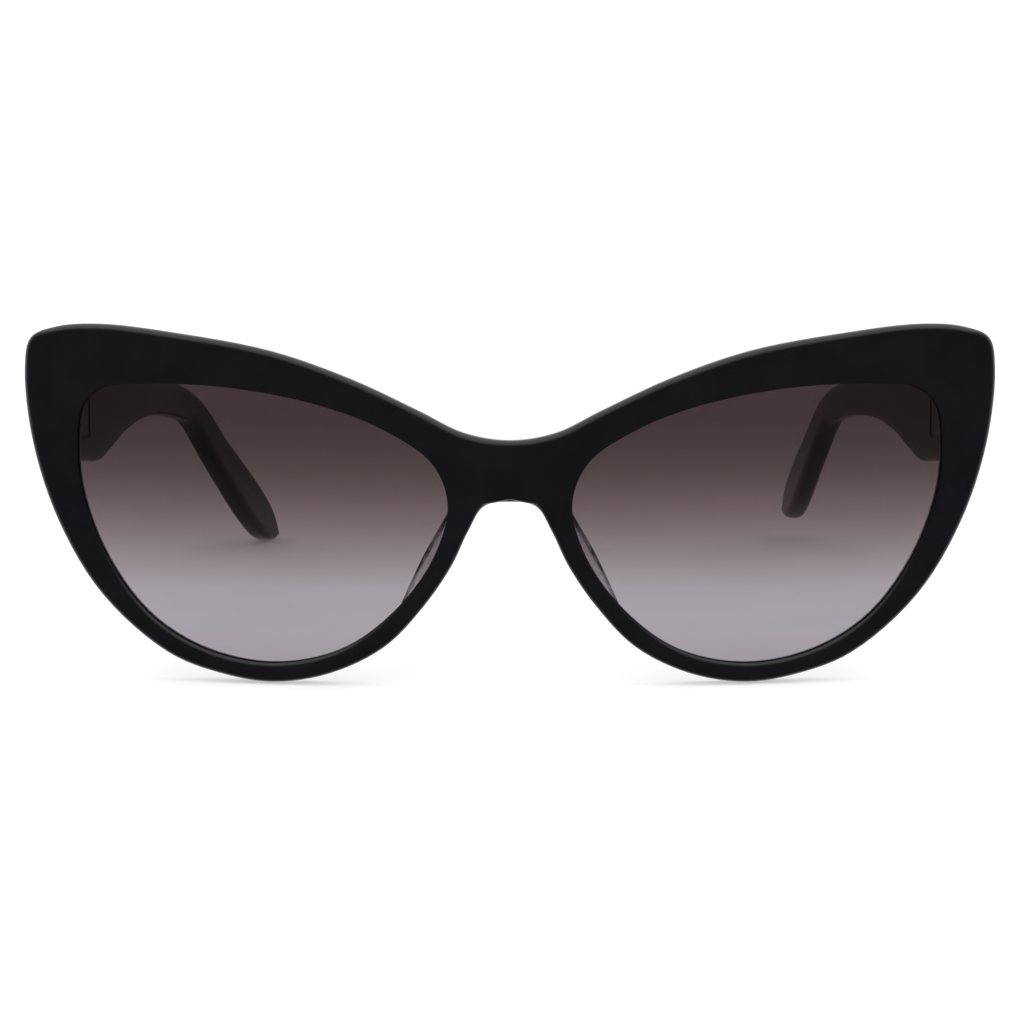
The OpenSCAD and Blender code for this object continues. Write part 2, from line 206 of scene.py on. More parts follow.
def sharp_edges(bm: bmesh.types.BMesh, angle: float) -> list[bmesh.types.BMEdge]:
    """Finds the edges where a solid turns outwards by more than an angle.

    Args:
        bm: Mesh of the solid.
        angle: Least angle between the two faces, in degrees.

    Returns:
        The edges.
    """
    bm.normal_update()
    least = math.radians(angle)
    return [e for e in bm.edges if e.is_manifold and e.calc_face_angle_signed(0.0) > least]


def add_bar(
    bm: bmesh.types.BMesh, low: Sequence[float], high: Sequence[float], edge: float = 0.0
) -> list[bmesh.types.BMVert]:
    """Adds a bar with softened edges between two corners.

    Args:
        bm: Mesh that takes the bar.
        low: Its corner with the least x, y and z.
        high: Its opposite corner.
        edge: Width of the rounding of its edges.

    Returns:
        The vertices of the bar.
    """
    before = set(bm.verts)
    made = bmesh.ops.create_cube(bm, size=1.0)
    size = Vector(high) - Vector(low)
    bmesh.ops.scale(bm, verts=made["verts"], vec=size)
    bmesh.ops.translate(bm, verts=made["verts"], vec=Vector(low) + size / 2)
    if edge:
        rounded(bm, {e for v in made["verts"] for e in v.link_edges}, edge, 2)
    return [v for v in bm.verts if v not in before]


def add_rounded_plate(
    bm: bmesh.types.BMesh, size: Sequence[float], corner: float, edge: float, place: Matrix
) -> None:
    """Adds a plate with rounded corners that stands on the x-y plane before it is placed.

    Args:
        bm: Mesh that takes the plate.
        size: Its width, its depth and its thickness.
        corner: Radius of its corners.
        edge: Width of the rounding along its faces; 0 leaves them sharp.
        place: Where it goes.
    """
    part = bmesh.new()
    width, depth, height = size
    add_bar(part, (-width / 2, -depth / 2, 0.0), (width / 2, depth / 2, height))
    upright = [e for e in part.edges if abs(e.verts[0].co.z - e.verts[1].co.z) > TINY]
    rounded(part, upright, corner, 5)
    if edge:
        rounded(part, sharp_edges(part, 60.0), edge, 2)
    bmesh.ops.transform(part, matrix=place, verts=part.verts)
    merge_into(bm, part)


def merge_into(bm: bmesh.types.BMesh, part: bmesh.types.BMesh) -> None:
    """Adds one mesh to another and frees it."""
    mesh = bpy.data.meshes.new("part")
    part.to_mesh(mesh)
    part.free()
    bm.from_mesh(mesh)
    bpy.data.meshes.remove(mesh)


def add_tube(
    bm: bmesh.types.BMesh, centre: Vector, inner: float, outer: float, length: float, edge: float
) -> None:
    """Turns a tube about an upright axis, with its rims softened.

    Args:
        bm: Mesh that takes the tube.
        centre: Middle of its lower end.
        inner: Radius of its bore.
        outer: Radius outside.
        length: Its length.
        edge: Width of the chamfers on its outer rims.
    """
    part = bmesh.new()
    corners = [
        (inner, 0.0), (outer - edge, 0.0), (outer, edge),
        (outer, length - edge), (outer - edge, length), (inner, length),
    ]
    verts = [part.verts.new((r, 0.0, z)) for r, z in corners]
    edges = [part.edges.new((a, b)) for a, b in pairwise([*verts, verts[0]])]
    bmesh.ops.spin(
        part, geom=[*verts, *edges], cent=(0, 0, 0), axis=AXIS_Z, angle=math.tau, steps=40,
        use_merge=True,
    )
    bmesh.ops.recalc_face_normals(part, faces=part.faces[:])
    bmesh.ops.translate(part, verts=part.verts, vec=centre)
    merge_into(bm, part)


def carve(solid: bmesh.types.BMesh, tool: bmesh.types.BMesh) -> None:
    """Cuts one solid out of another.

    Args:
        solid: Mesh that is cut.
        tool: Mesh of what is taken away; it is freed.
    """
    holders = []
    for bm in (solid, tool):
        mesh = bpy.data.meshes.new("carving")
        bm.to_mesh(mesh)
        holder = bpy.data.objects.new("carving", mesh)
        bpy.context.scene.collection.objects.link(holder)
        holders.append(holder)
    tool.free()
    cut = holders[0].modifiers.new("pocket", "BOOLEAN")
    cut.operation = "DIFFERENCE"
    cut.solver = "EXACT"
    cut.object = holders[1]
    result = holders[0].evaluated_get(bpy.context.evaluated_depsgraph_get()).to_mesh()
    solid.clear()
    solid.from_mesh(result)
    for holder in holders:
        mesh = holder.data
        bpy.data.objects.remove(holder)
        bpy.data.meshes.remove(mesh)


# ---- placing and dressing ------------------------------------------------------------------


@dataclass(frozen=True)
class Stand:
    """How the glasses lean on the table; it follows the frame's own left hinge.

    Attributes:
        pin: Place of the left hinge pin in the design frame.
    """

    pin: Vector

    def matrix(self) -> Matrix:
        """Turns the design frame in millimetres to the standing frame in metres."""
        hinge = next(j for j in frame["joints"] if j["name"] == "hinge_left")
        lean = math.atan2(hinge["axis"][1], hinge["axis"][2])
        turn = Matrix.Rotation(-lean, 4, "X")
        shift = Vector(hinge["pos_m"]) / MM - turn @ self.pin
        return Matrix.Scale(MM, 4) @ Matrix.Translation(shift) @ turn

    def settle(self, bm: bmesh.types.BMesh, side: Side = Side.LEFT) -> None:
        """Moves a finished mesh to its place.

        Args:
            bm: Mesh in the design frame, drawn for the left side.
            side: Side that it goes to.
        """
        if side is Side.RIGHT:
            bmesh.ops.transform(bm, matrix=Matrix.Scale(-1.0, 4, AXIS_X), verts=bm.verts)
            bmesh.ops.reverse_faces(bm, faces=bm.faces[:])
        bmesh.ops.transform(bm, matrix=self.matrix(), verts=bm.verts)


def make_piece(
    bm: bmesh.types.BMesh,
    name: str,
    body: str,
    material: bpy.types.Material,
    nodes: Sequence[str],
    crease: float = 40.0,
) -> bpy.types.Object:
    """Turns a mesh into a piece that rides on a body.

    Args:
        bm: Mesh in its place; it is freed.
        name: Name of the piece.
        body: Body that carries it.
        material: Its finish.
        nodes: Frame nodes that it stands for.
        crease: Angle in degrees from which an edge looks sharp.

    Returns:
        The piece.
    """
    mesh = bpy.data.meshes.new(name)
    bm.to_mesh(mesh)
    bm.free()
    mesh.shade_smooth()
    mesh.set_sharp_from_angle(angle=math.radians(crease))
    mesh.materials.append(material)
    piece = bpy.data.objects.new(name, mesh)
    bpy.context.scene.collection.objects.link(piece)
    flat = piece.modifiers.new("even faces", "WEIGHTED_NORMAL")
    flat.keep_sharp = True
    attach(piece, body)
    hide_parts(*nodes)
    LOG.info("%s: %d faces on %s", name, len(mesh.polygons), body)
    return piece


def linear(colour: str) -> tuple[float, float, float, float]:
    """Turns an sRGB hex colour to linear.

    Args:
        colour: Six hex digits after a hash sign.

    Returns:
        Red, green, blue and a full alpha.
    """
    shares = (int(colour[i : i + 2], 16) / 255 for i in (1, 3, 5))
    red, green, blue = (s / 12.92 if s <= 0.04045 else ((s + 0.055) / 1.055) ** 2.4 for s in shares)
    return red, green, blue, 1.0


def add_node(
    tree: bpy.types.NodeTree,
    kind: str,
    settings: dict[str | int, object] | None = None,
    links: dict[str | int, bpy.types.NodeSocket] | None = None,
) -> bpy.types.Node:
    """Adds a node with its settings and links.

    Args:
        tree: Node tree that takes it.
        kind: Type name of the node.
        settings: Value of each property or input socket, by its name or the socket's place.
        links: Socket that feeds each input, by its name or place.

    Returns:
        The node.
    """
    node = tree.nodes.new(kind)
    for name, value in (settings or {}).items():
        if isinstance(name, int) or name in node.inputs:
            node.inputs[name].default_value = value
        else:
            setattr(node, name, value)
    for name, source in (links or {}).items():
        tree.links.new(source, node.inputs[name])
    return node


def set_ramp(node: bpy.types.Node, stops: Sequence[tuple[float, Sequence[float]]]) -> None:
    """Gives a colour ramp its stops.

    Args:
        node: The Color Ramp node.
        stops: Place and linear colour of each stop.
    """
    ramp = node.color_ramp
    while len(ramp.elements) < len(stops):
        ramp.elements.new(0.5)
    for element, (place, colour) in zip(ramp.elements, stops, strict=True):
        element.position = place
        element.color = colour


def per_metre(size_mm: float) -> float:
    """Scale of a noise whose features have a size in millimetres."""
    return 1.0 / (size_mm * MM)


@dataclass(frozen=True)
class Finish:
    """A finish; each kind fills in its own nodes."""

    name: str

    def make(self) -> bpy.types.Material:
        """Builds the material."""
        material = bpy.data.materials.new(self.name)
        material.use_nodes = True
        tree = material.node_tree
        tree.nodes.clear()
        where = add_node(tree, "ShaderNodeTexCoord").outputs["Object"]
        shader = self.dress(tree, where)
        add_node(tree, "ShaderNodeOutputMaterial", links={"Surface": shader})
        return material

    def dress(
        self, tree: bpy.types.NodeTree, where: bpy.types.NodeSocket
    ) -> bpy.types.NodeSocket:
        """Fills in the nodes of the finish.

        Args:
            tree: Node tree of the material.
            where: Place on the object, in metres.

        Returns:
            The shader's output.
        """
        raise NotImplementedError


@dataclass(frozen=True)
class TumbledBlackAcetate(Finish):
    """Black cellulose acetate sheet, milled, tumbled and buffed: deep black under a wet gloss.

    Buffing by hand leaves slow waves in the surface and hairlines that only show in the gloss.

    Attributes:
        dark: Colour of most of the sheet.
        light: Colour of its paler flow marks.
        flow: Size of the flow marks in millimetres.
        wave: Size of the buffing waves in millimetres.
        hairline: Width of the hairlines in millimetres, coarser than real so that they show.
        gloss: Least and greatest roughness.
    """

    name: str = "tumbled_black_acetate"
    dark: str = "#0c0b0e"
    light: str = "#111013"
    flow: float = 9.0
    wave: float = 7.0
    hairline: float = 0.25
    gloss: tuple[float, float] = (0.035, 0.1)

    def dress(
        self, tree: bpy.types.NodeTree, where: bpy.types.NodeSocket
    ) -> bpy.types.NodeSocket:
        """Fills in the nodes of the finish."""
        flow = add_node(
            tree, "ShaderNodeTexNoise",
            {"Scale": per_metre(self.flow), "Detail": 3.0, "Distortion": 0.8}, {"Vector": where},
        )
        colour = add_node(tree, "ShaderNodeValToRGB", links={"Fac": flow.outputs["Fac"]})
        set_ramp(colour, [(0.35, linear(self.dark)), (0.7, linear(self.light))])
        # Hairlines run along the front and the temples, so the noise is drawn out in x and y
        stretched = add_node(
            tree, "ShaderNodeMapping", {"Scale": (0.06, 0.06, 1.0)}, {"Vector": where}
        )
        hair = add_node(
            tree, "ShaderNodeTexNoise",
            {"Scale": per_metre(self.hairline), "Detail": 2.0},
            {"Vector": stretched.outputs["Vector"]},
        )
        smear = add_node(
            tree, "ShaderNodeTexNoise", {"Scale": per_metre(14.0), "Detail": 4.0}, {"Vector": where}
        )
        both = add_node(
            tree, "ShaderNodeMath", {"operation": "MULTIPLY"},
            {0: hair.outputs["Fac"], 1: smear.outputs["Fac"]},
        )
        rough = add_node(
            tree, "ShaderNodeMapRange",
            {"From Min": 0.1, "From Max": 0.45, "To Min": self.gloss[0], "To Max": self.gloss[1]},
            {"Value": both.outputs["Value"]},
        )
        wave = add_node(
            tree, "ShaderNodeTexNoise", {"Scale": per_metre(self.wave), "Detail": 1.0},
            {"Vector": where},
        )
        bump = add_node(
            tree, "ShaderNodeBump", {"Strength": 0.25, "Distance": 0.00006},
            {"Height": wave.outputs["Fac"]},
        )
        fine = add_node(
            tree, "ShaderNodeBump", {"Strength": 0.05, "Distance": 0.000004},
            {"Height": hair.outputs["Fac"], "Normal": bump.outputs["Normal"]},
        )
        return add_node(
            tree, "ShaderNodeBsdfPrincipled", {"IOR": 1.49},
            {
                "Base Color": colour.outputs["Color"],
                "Roughness": rough.outputs["Result"],
                "Normal": fine.outputs["Normal"],
            },
        ).outputs["BSDF"]


@dataclass(frozen=True)
class GradientTintedLens(Finish):
    """Dip-tinted nylon lens: smoke grey with a plum cast, dark at the brow and pale at the cheek.

    Attributes:
        low: Height of the lowest stop above the table, in metres.
        high: Height of the highest stop.
        tints: What a white ground looks like through the lens, from the lowest stop upwards.
    """

    name: str = "gradient_tinted_lens"
    low: float = 0.006
    high: float = 0.040
    tints: tuple[str, ...] = (
        "#a49da6", "#9f9ba1", "#9b949c", "#877e82", "#726669", "#5e5155", "#4c4041", "#403537",
        "#3c2f33",
    )

    def dress(
        self, tree: bpy.types.NodeTree, where: bpy.types.NodeSocket
    ) -> bpy.types.NodeSocket:
        """Fills in the nodes of the finish."""
        up = add_node(tree, "ShaderNodeSeparateXYZ", links={0: where}).outputs["Z"]
        height = add_node(
            tree, "ShaderNodeMapRange", {"From Min": self.low, "From Max": self.high},
            {"Value": up},
        )
        tint = add_node(tree, "ShaderNodeValToRGB", links={"Fac": height.outputs["Result"]})
        last = len(self.tints) - 1
        # Light goes through the front and the back of a lens, so each takes the square root
        set_ramp(tint, [
            (i / last, tuple(math.sqrt(share) for share in linear(colour)))
            for i, colour in enumerate(self.tints)
        ])
        clear = add_node(
            tree, "ShaderNodeBsdfTransparent", links={"Color": tint.outputs["Color"]}
        )
        smear = add_node(
            tree, "ShaderNodeTexNoise", {"Scale": per_metre(11.0), "Detail": 4.0}, {"Vector": where}
        )
        rough = add_node(
            tree, "ShaderNodeMapRange",
            {"From Min": 0.3, "From Max": 0.75, "To Min": 0.01, "To Max": 0.05},
            {"Value": smear.outputs["Fac"]},
        )
        gloss = add_node(
            tree, "ShaderNodeBsdfGlossy", {"Color": (1.0, 1.0, 1.0, 1.0)},
            {"Roughness": rough.outputs["Result"]},
        )
        mirror = add_node(tree, "ShaderNodeFresnel", {"IOR": 1.6})
        inside = add_node(tree, "ShaderNodeNewGeometry").outputs["Backfacing"]
        outside = add_node(
            tree, "ShaderNodeMath", {"operation": "SUBTRACT", 0: 1.0}, {1: inside}
        )
        share = add_node(
            tree, "ShaderNodeMath", {"operation": "MULTIPLY"},
            {0: mirror.outputs["Fac"], 1: outside.outputs["Value"]},
        )
        return add_node(
            tree, "ShaderNodeMixShader",
            links={
                0: share.outputs["Value"], 1: clear.outputs["BSDF"], 2: gloss.outputs["BSDF"],
            },
        ).outputs["Shader"]


@dataclass(frozen=True)
class PolishedClearAcetate(Finish):
    """Crystal cellulose acetate, milled and polished: clear, with a dark line of painted shade round
    its edge.

    Light that grazes the edge is bent away from the eye; that bending is not traced but painted, so
    the colour darkens towards the edge where it is seen edge-on, as painted shade.

    Attributes:
        middle: Tint where it is looked at squarely.
        rim: Colour of the painted shade at its edge, where it is seen edge-on.
        gleam: Index for its reflections: less than acetate's own 1.48, as skin oil dulls a pad.
    """

    name: str = "polished_clear_acetate"
    middle: str = "#e9e7ea"
    rim: str = "#a39fa4"
    gleam: float = 1.3

    def dress(
        self, tree: bpy.types.NodeTree, where: bpy.types.NodeSocket
    ) -> bpy.types.NodeSocket:
        """Fills in the nodes of the finish."""
        wave = add_node(
            tree, "ShaderNodeTexNoise", {"Scale": per_metre(2.5), "Detail": 1.0}, {"Vector": where}
        )
        bump = add_node(
            tree, "ShaderNodeBump", {"Strength": 0.2, "Distance": 0.00004},
            {"Height": wave.outputs["Fac"]},
        )
        rough = add_node(
            tree, "ShaderNodeMapRange",
            {"From Min": 0.3, "From Max": 0.7, "To Min": 0.02, "To Max": 0.07},
            {"Value": wave.outputs["Fac"]},
        )
        # Painted shade: the colour darkens from the middle tint to the rim colour where the pad is
        # seen edge-on
        edge = add_node(tree, "ShaderNodeLayerWeight", {"Blend": 0.35}).outputs["Facing"]
        tint = add_node(tree, "ShaderNodeValToRGB", links={"Fac": edge})
        set_ramp(tint, [
            (0.0, linear(self.middle)), (0.6, linear(self.middle)), (0.9, linear(self.rim))
        ])
        clear = add_node(
            tree, "ShaderNodeBsdfTransparent", links={"Color": tint.outputs["Color"]}
        )
        gloss = add_node(
            tree, "ShaderNodeBsdfGlossy", {"Color": (1.0, 1.0, 1.0, 1.0)},
            {"Roughness": rough.outputs["Result"], "Normal": bump.outputs["Normal"]},
        )
        mirror = add_node(
            tree, "ShaderNodeFresnel", {"IOR": self.gleam}, {"Normal": bump.outputs["Normal"]}
        )
        return add_node(
            tree, "ShaderNodeMixShader",
            links={
                0: mirror.outputs["Fac"], 1: clear.outputs["BSDF"], 2: gloss.outputs["BSDF"],
            },
        ).outputs["Shader"]


@dataclass(frozen=True)
class WorkedMetal(Finish):
    """Bare metal with fine marks from its making, drawn out along z.

    Attributes:
        colour: Colour of its reflections.
        mark: Width of the marks in millimetres.
        gloss: Least and greatest roughness.
    """

    name: str = "gunmetal_plated_nickel_silver"
    colour: str = "#6a6662"
    mark: float = 0.08
    gloss: tuple[float, float] = (0.18, 0.36)

    def dress(
        self, tree: bpy.types.NodeTree, where: bpy.types.NodeSocket
    ) -> bpy.types.NodeSocket:
        """Fills in the nodes of the finish."""
        stretched = add_node(
            tree, "ShaderNodeMapping", {"Scale": (1.0, 1.0, 0.2)}, {"Vector": where}
        )
        marks = add_node(
            tree, "ShaderNodeTexNoise", {"Scale": per_metre(self.mark), "Detail": 3.0},
            {"Vector": stretched.outputs["Vector"]},
        )
        rough = add_node(
            tree, "ShaderNodeMapRange",
            {"From Min": 0.3, "From Max": 0.7, "To Min": self.gloss[0], "To Max": self.gloss[1]},
            {"Value": marks.outputs["Fac"]},
        )
        bump = add_node(
            tree, "ShaderNodeBump", {"Strength": 0.1, "Distance": 0.00001},
            {"Height": marks.outputs["Fac"]},
        )
        return add_node(
            tree, "ShaderNodeBsdfPrincipled",
            {"Base Color": linear(self.colour), "Metallic": 1.0},
            {"Roughness": rough.outputs["Result"], "Normal": bump.outputs["Normal"]},
        ).outputs["BSDF"]


@dataclass
class Finishes:
    """The finishes of the glasses, each made once."""

    acetate: bpy.types.Material = field(default_factory=lambda: TumbledBlackAcetate().make())
    lens: bpy.types.Material = field(default_factory=lambda: GradientTintedLens().make())
    crystal: bpy.types.Material = field(default_factory=lambda: PolishedClearAcetate().make())
    # Nickel silver, stamped and plated gunmetal: a dark warm metal with a satin shine
    hinge: bpy.types.Material = field(default_factory=lambda: WorkedMetal().make())
    # Stainless steel, turned: cooler and brighter than the leaves round it
    screw: bpy.types.Material = field(
        default_factory=lambda: WorkedMetal("turned_steel", "#c4c7cb", 0.05, (0.12, 0.28)).make()
    )
    # Nickel silver wire, drawn flat: dull, with long marks
    wire: bpy.types.Material = field(
        default_factory=lambda: WorkedMetal("drawn_wire", "#b9b4aa", 0.1, (0.3, 0.45)).make()
    )


# ---- front ---------------------------------------------------------------------------------

# Share of the lens box across and up, for each point of the +X opening, anticlockwise
OPENING = (
    (0, 57), (4, 37.5), (14.5, 18.5), (28.5, 5), (46.5, 0), (65, 4.5), (80.5, 17), (92.5, 38.5),
    (99, 62), (100, 79), (98.5, 92), (93, 98.5), (80, 100), (57.5, 98.5), (33, 92), (16, 83),
    (4, 71.5),
)


@dataclass
class FrontSheet:
    """The acetate front: a milled sheet bent to a radius, with a thick end piece at each side.

    Sizes are in millimetres, and are those of the CAD model unless a line says otherwise.

    Attributes:
        lens_w: Width of the box round one opening.
        lens_h: Height of that box.
        lens_gap: Gap between the openings.
        thick: Thickness of the sheet.
        radius: Radius to which it is bent.
        arch_z: Height of the nose arch.
        bridge_h: Height of the bridge.
        rim_low: Width of the rim below a lens.
        rim_nose: Width of the rim at the nose.
        rim_side: Width of the rim at the temple.
        brow_w: Width of the rim over a lens.
        wing_w: Reach of the raised outer corner.
        end_y: Flat back of the end pieces.
        end_top: Top of the end pieces' backs.
        end_h: Height of the end pieces' backs.
        end_in: Distance from the opening to an end piece.
        groove: Depth of the lens groove.
        lens_face: Depth of the lens's face behind the sheet's face.
        lens_t: Thickness of a lens.
        outer_round: Width of the rounding of the outer front edge; the CAD edge is sharp.
        inner_round: Width of the rounding round an opening.
        inner_flat: How shallow that rounding is, against its width.
        back_round: Width of the rounding of the rear edges.
        end_deep: Depth to which an end piece is drawn while the sheet is still flat.
    """

    lens_w: float = 56.0
    lens_h: float = 41.8
    lens_gap: float = 18.6
    thick: float = 4.4
    radius: float = 260.0
    arch_z: float = 27.2
    bridge_h: float = 9.2
    rim_low: float = 2.9
    rim_nose: float = 3.0
    rim_side: float = 5.0
    brow_w: float = 5.3
    wing_w: float = 13.6
    end_y: float = 16.888
    end_top: float = 47.3
    end_h: float = 14.4
    end_in: float = 0.7
    groove: float = 0.74
    lens_face: float = 0.7
    lens_t: float = 2.0
    outer_round: float = 1.3
    inner_round: float = 1.2
    inner_flat: float = 0.5
    back_round: float = 0.55
    end_deep: float = 14.0

    def depth_y(self, x: float, depth: float = 0.0) -> float:
        """Finds where a point of the flat sheet comes to lie when it is bent.

        Args:
            x: Its distance from the middle.
            depth: Its depth behind the face of the sheet.

        Returns:
            Its y in the design frame; behind the sheet, an end piece runs on to its flat back.
        """
        if depth <= self.thick:
            return self.radius - math.sqrt((self.radius - depth) ** 2 - x * x)
        back = self.depth_y(x, self.thick)
        return back + (depth - self.thick) / (self.end_deep - self.thick) * (self.end_y - back)

    def lens_point(self, across: float, up: float) -> Vector:
        """Point at percentages across and up the box round the +X opening, as (x, z)."""
        return Vector((
            self.lens_gap / 2 + self.lens_w * across / 100, self.rim_low + self.lens_h * up / 100
        ))

    def opening(self, steps: int = 8) -> list[Vector]:
        """Edge of the +X opening, anticlockwise from the nose."""
        return smooth_line([self.lens_point(*place) for place in OPENING], steps, closed=True)

    def stations(self) -> list[tuple[Vector, Vector]]:
        """Finds the places where the rim's width is set, anticlockwise from the nose.

        Returns:
            For each, a point at the opening and the point of the outer edge that belongs to it.
        """
        low, nose, side, wing, brow = (
            self.rim_low, self.rim_nose, self.rim_side, self.wing_w, self.brow_w
        )
        # Share across and up the lens box, direction in degrees, width of the rim
        rim = (
            (0, 56.2, 179, nose + 2.4), (0.5, 48.5, 186, nose + 0.4), (4, 37.5, 199, nose),
            (10.5, 23.5, 208, nose - 0.4), (20.5, 11, 226, low), (34, 2.5, 243, low),
            (47, 0, 269, low), (59.5, 2.5, 286, low), (73, 10, 296, low + 0.3),
            (88, 28.5, 326, low + 0.8), (97, 53, 344, side), (100, 77.5, 4, side + 2.2),
            (98, 90, 35, wing - 2), (96.5, 93, 46.5, wing), (94.5, 95.5, 58.5, wing - 1.3),
            (90, 98.5, 77, wing - 3.7), (73, 100, 88, brow + 2.4), (49, 97, 99, brow + 1),
            (29, 90, 111, brow), (12.5, 80, 121, brow - 0.1), (4, 72, 136, brow + 1.2),
        )
        places = []
        for across, up, turn, width in rim:
            angle = math.radians(turn)
            start = self.lens_point(across, up)
            places.append((start, start + width * Vector((math.cos(angle), math.sin(angle)))))
        return places

    def half_loops(self, steps: int = 6) -> tuple[list[Vector], list[Vector]]:
        """Draws the outer edge of the +X half and the points of the opening that face it.

        Args:
            steps: Number of pieces between two stations.

        Returns:
            The closed loop round the half, down the middle of the bridge, and the inner loop.
        """
        places = self.stations()
        half = [outer for _, outer in places]
        arch = Vector((0.0, self.arch_z))
        top = Vector((0.0, self.arch_z + self.bridge_h))
        mirrored = [Vector((-p.x, p.y)) for p in reversed(half)]
        whole = smooth_line([arch, *half, top, *mirrored], steps, closed=True)
        last = (len(half) + 1) * steps
        middle = [top.lerp(arch, k / steps) for k in range(1, steps)]
        outer = [*whole[: last + 1], *middle]
        outer = outer[steps:] + outer[:steps]
        opening = self.opening(16)
        near = [
            min(range(len(opening)), key=lambda i, s=start: (opening[i] - s).length)
            for start, _ in places
        ]
        inner = []
        for (a, b) in pairwise(near):
            inner += [self.on_loop(opening, a, (b - a) % len(opening), k / steps)
                      for k in range(steps)]
        bridge = outer[len(inner):]
        run = [0.0]
        for p, q in pairwise([*bridge, outer[0]]):
            run.append(run[-1] + (q - p).length)
        reach = (near[0] - near[-1]) % len(opening)
        inner += [self.on_loop(opening, near[-1], reach, r / run[-1]) for r in run[:-1]]
        return outer, inner

    @staticmethod
    def on_loop(line: Sequence[Vector], start: int, count: int, share: float) -> Vector:
        """Finds a point on a closed line.

        Args:
            line: Points of the line.
            start: Number of the point where the stretch begins.
            count: Number of points to its end.
            share: How far along the stretch.

        Returns:
            The point.
        """
        place = share * count
        whole = int(place)
        here, after = line[(start + whole) % len(line)], line[(start + whole + 1) % len(line)]
        return here.lerp(after, place - whole)

    def flat_sheet(self) -> tuple[bmesh.types.BMesh, bmesh.types.BMLayerItem]:
        """Lays out the flat sheet with its two openings.

        Returns:
            The mesh of one side, and the layer that marks the vertices of the openings.
        """
        outer, inner = self.half_loops()
        bm = bmesh.new()
        mark = bm.verts.layers.int.new("opening")
        ring = [bm.verts.new((p.x, 0.0, p.y)) for p in outer]
        edges = [bm.edges.new(pair) for pair in pairwise([*ring, ring[0]])]
        bmesh.ops.extrude_edge_only(bm, edges=edges)
        for vert, place in zip(ring, inner, strict=True):
            twin = next(
                e.other_vert(vert) for e in vert.link_edges if e.calc_length() < TINY
            )
            twin.co = (place.x, 0.0, place.y)
            twin[mark] = 1
        bmesh.ops.mirror(
            bm, geom=[*bm.verts, *bm.edges, *bm.faces], matrix=Matrix.Identity(4),
            merge_dist=0.001, axis="X",
        )
        bmesh.ops.remove_doubles(bm, verts=bm.verts, dist=0.002)
        bmesh.ops.recalc_face_normals(bm, faces=bm.faces[:])
        return bm, mark

    def solid(self) -> bmesh.types.BMesh:
        """Mills the flat sheet: thickness, roundings, lens grooves and end pieces."""
        bm, mark = self.flat_sheet()
        new_shell(bm, bm.faces[:], AXIS_Y * self.thick)

        def at(vert: bmesh.types.BMVert, depth: float) -> bool:
            """Whether a vertex lies at a depth."""
            return abs(vert.co.y - depth) < TINY

        def rim_edges(depth: float, inner: bool) -> list[bmesh.types.BMEdge]:
            """Edges of the openings, or of the outer edge, at a depth."""
            return [
                e for e in bm.edges
                if all(at(v, depth) and bool(v[mark]) == inner for v in e.verts)
                and any(not all(at(v, depth) for v in f.verts) for f in e.link_faces)
            ]

        made = rounded(bm, rim_edges(0.0, True), self.inner_round, 5)
        bmesh.ops.scale(bm, verts=made, vec=(1.0, self.inner_flat, 1.0))
        for vert in made:
            vert[mark] = 1
        rounded(bm, rim_edges(0.0, False), self.outer_round, 5)
        spokes = [
            e for e in bm.edges
            if e.verts[0][mark] != e.verts[1][mark] and abs(e.verts[0].co.y - e.verts[1].co.y) < TINY
        ]
        bmesh.ops.subdivide_edges(bm, edges=spokes, cuts=3, use_grid_fill=True)
        self.cut_grooves(bm)
        self.raise_ends(bm)
        return bm

    def cut_grooves(self, bm: bmesh.types.BMesh) -> None:
        """Cuts the groove that holds each lens into the wall of its opening."""
        near, far = self.lens_face - 0.04, self.lens_face + self.lens_t + 0.04
        bm.normal_update()
        deep = self.inner_round * self.inner_flat
        wall = [
            f for f in bm.faces
            if abs(f.normal.y) < 0.1
            and min(v.co.y for v in f.verts) > deep - 0.01
            and self.faces_opening(f)
        ]
        for depth in (near, far):
            geom = {*wall, *(e for f in wall for e in f.edges), *(v for f in wall for v in f.verts)}
            cut = bmesh.ops.bisect_plane(
                bm, geom=list(geom), dist=TINY, plane_co=(0, depth, 0), plane_no=AXIS_Y
            )
            wall = [g for g in cut["geom"] if isinstance(g, bmesh.types.BMFace)]
        strip = [f for f in wall if near < f.calc_center_median().y < far]
        bmesh.ops.inset_region(
            bm, faces=strip, thickness=0.0, depth=-self.groove, use_boundary=True,
            use_even_offset=True,
        )

    def faces_opening(self, face: bmesh.types.BMFace) -> bool:
        """Whether a wall face looks into the nearer opening."""
        centre = face.calc_center_median()
        box = self.lens_point(50, 50)
        sign = 1.0 if centre.x > 0 else -1.0
        inward = Vector((sign * box.x - centre.x, 0.0, box.y - centre.z))
        return face.normal.dot(inward) > 0 and abs(centre.x) > self.lens_gap / 2 - 0.5

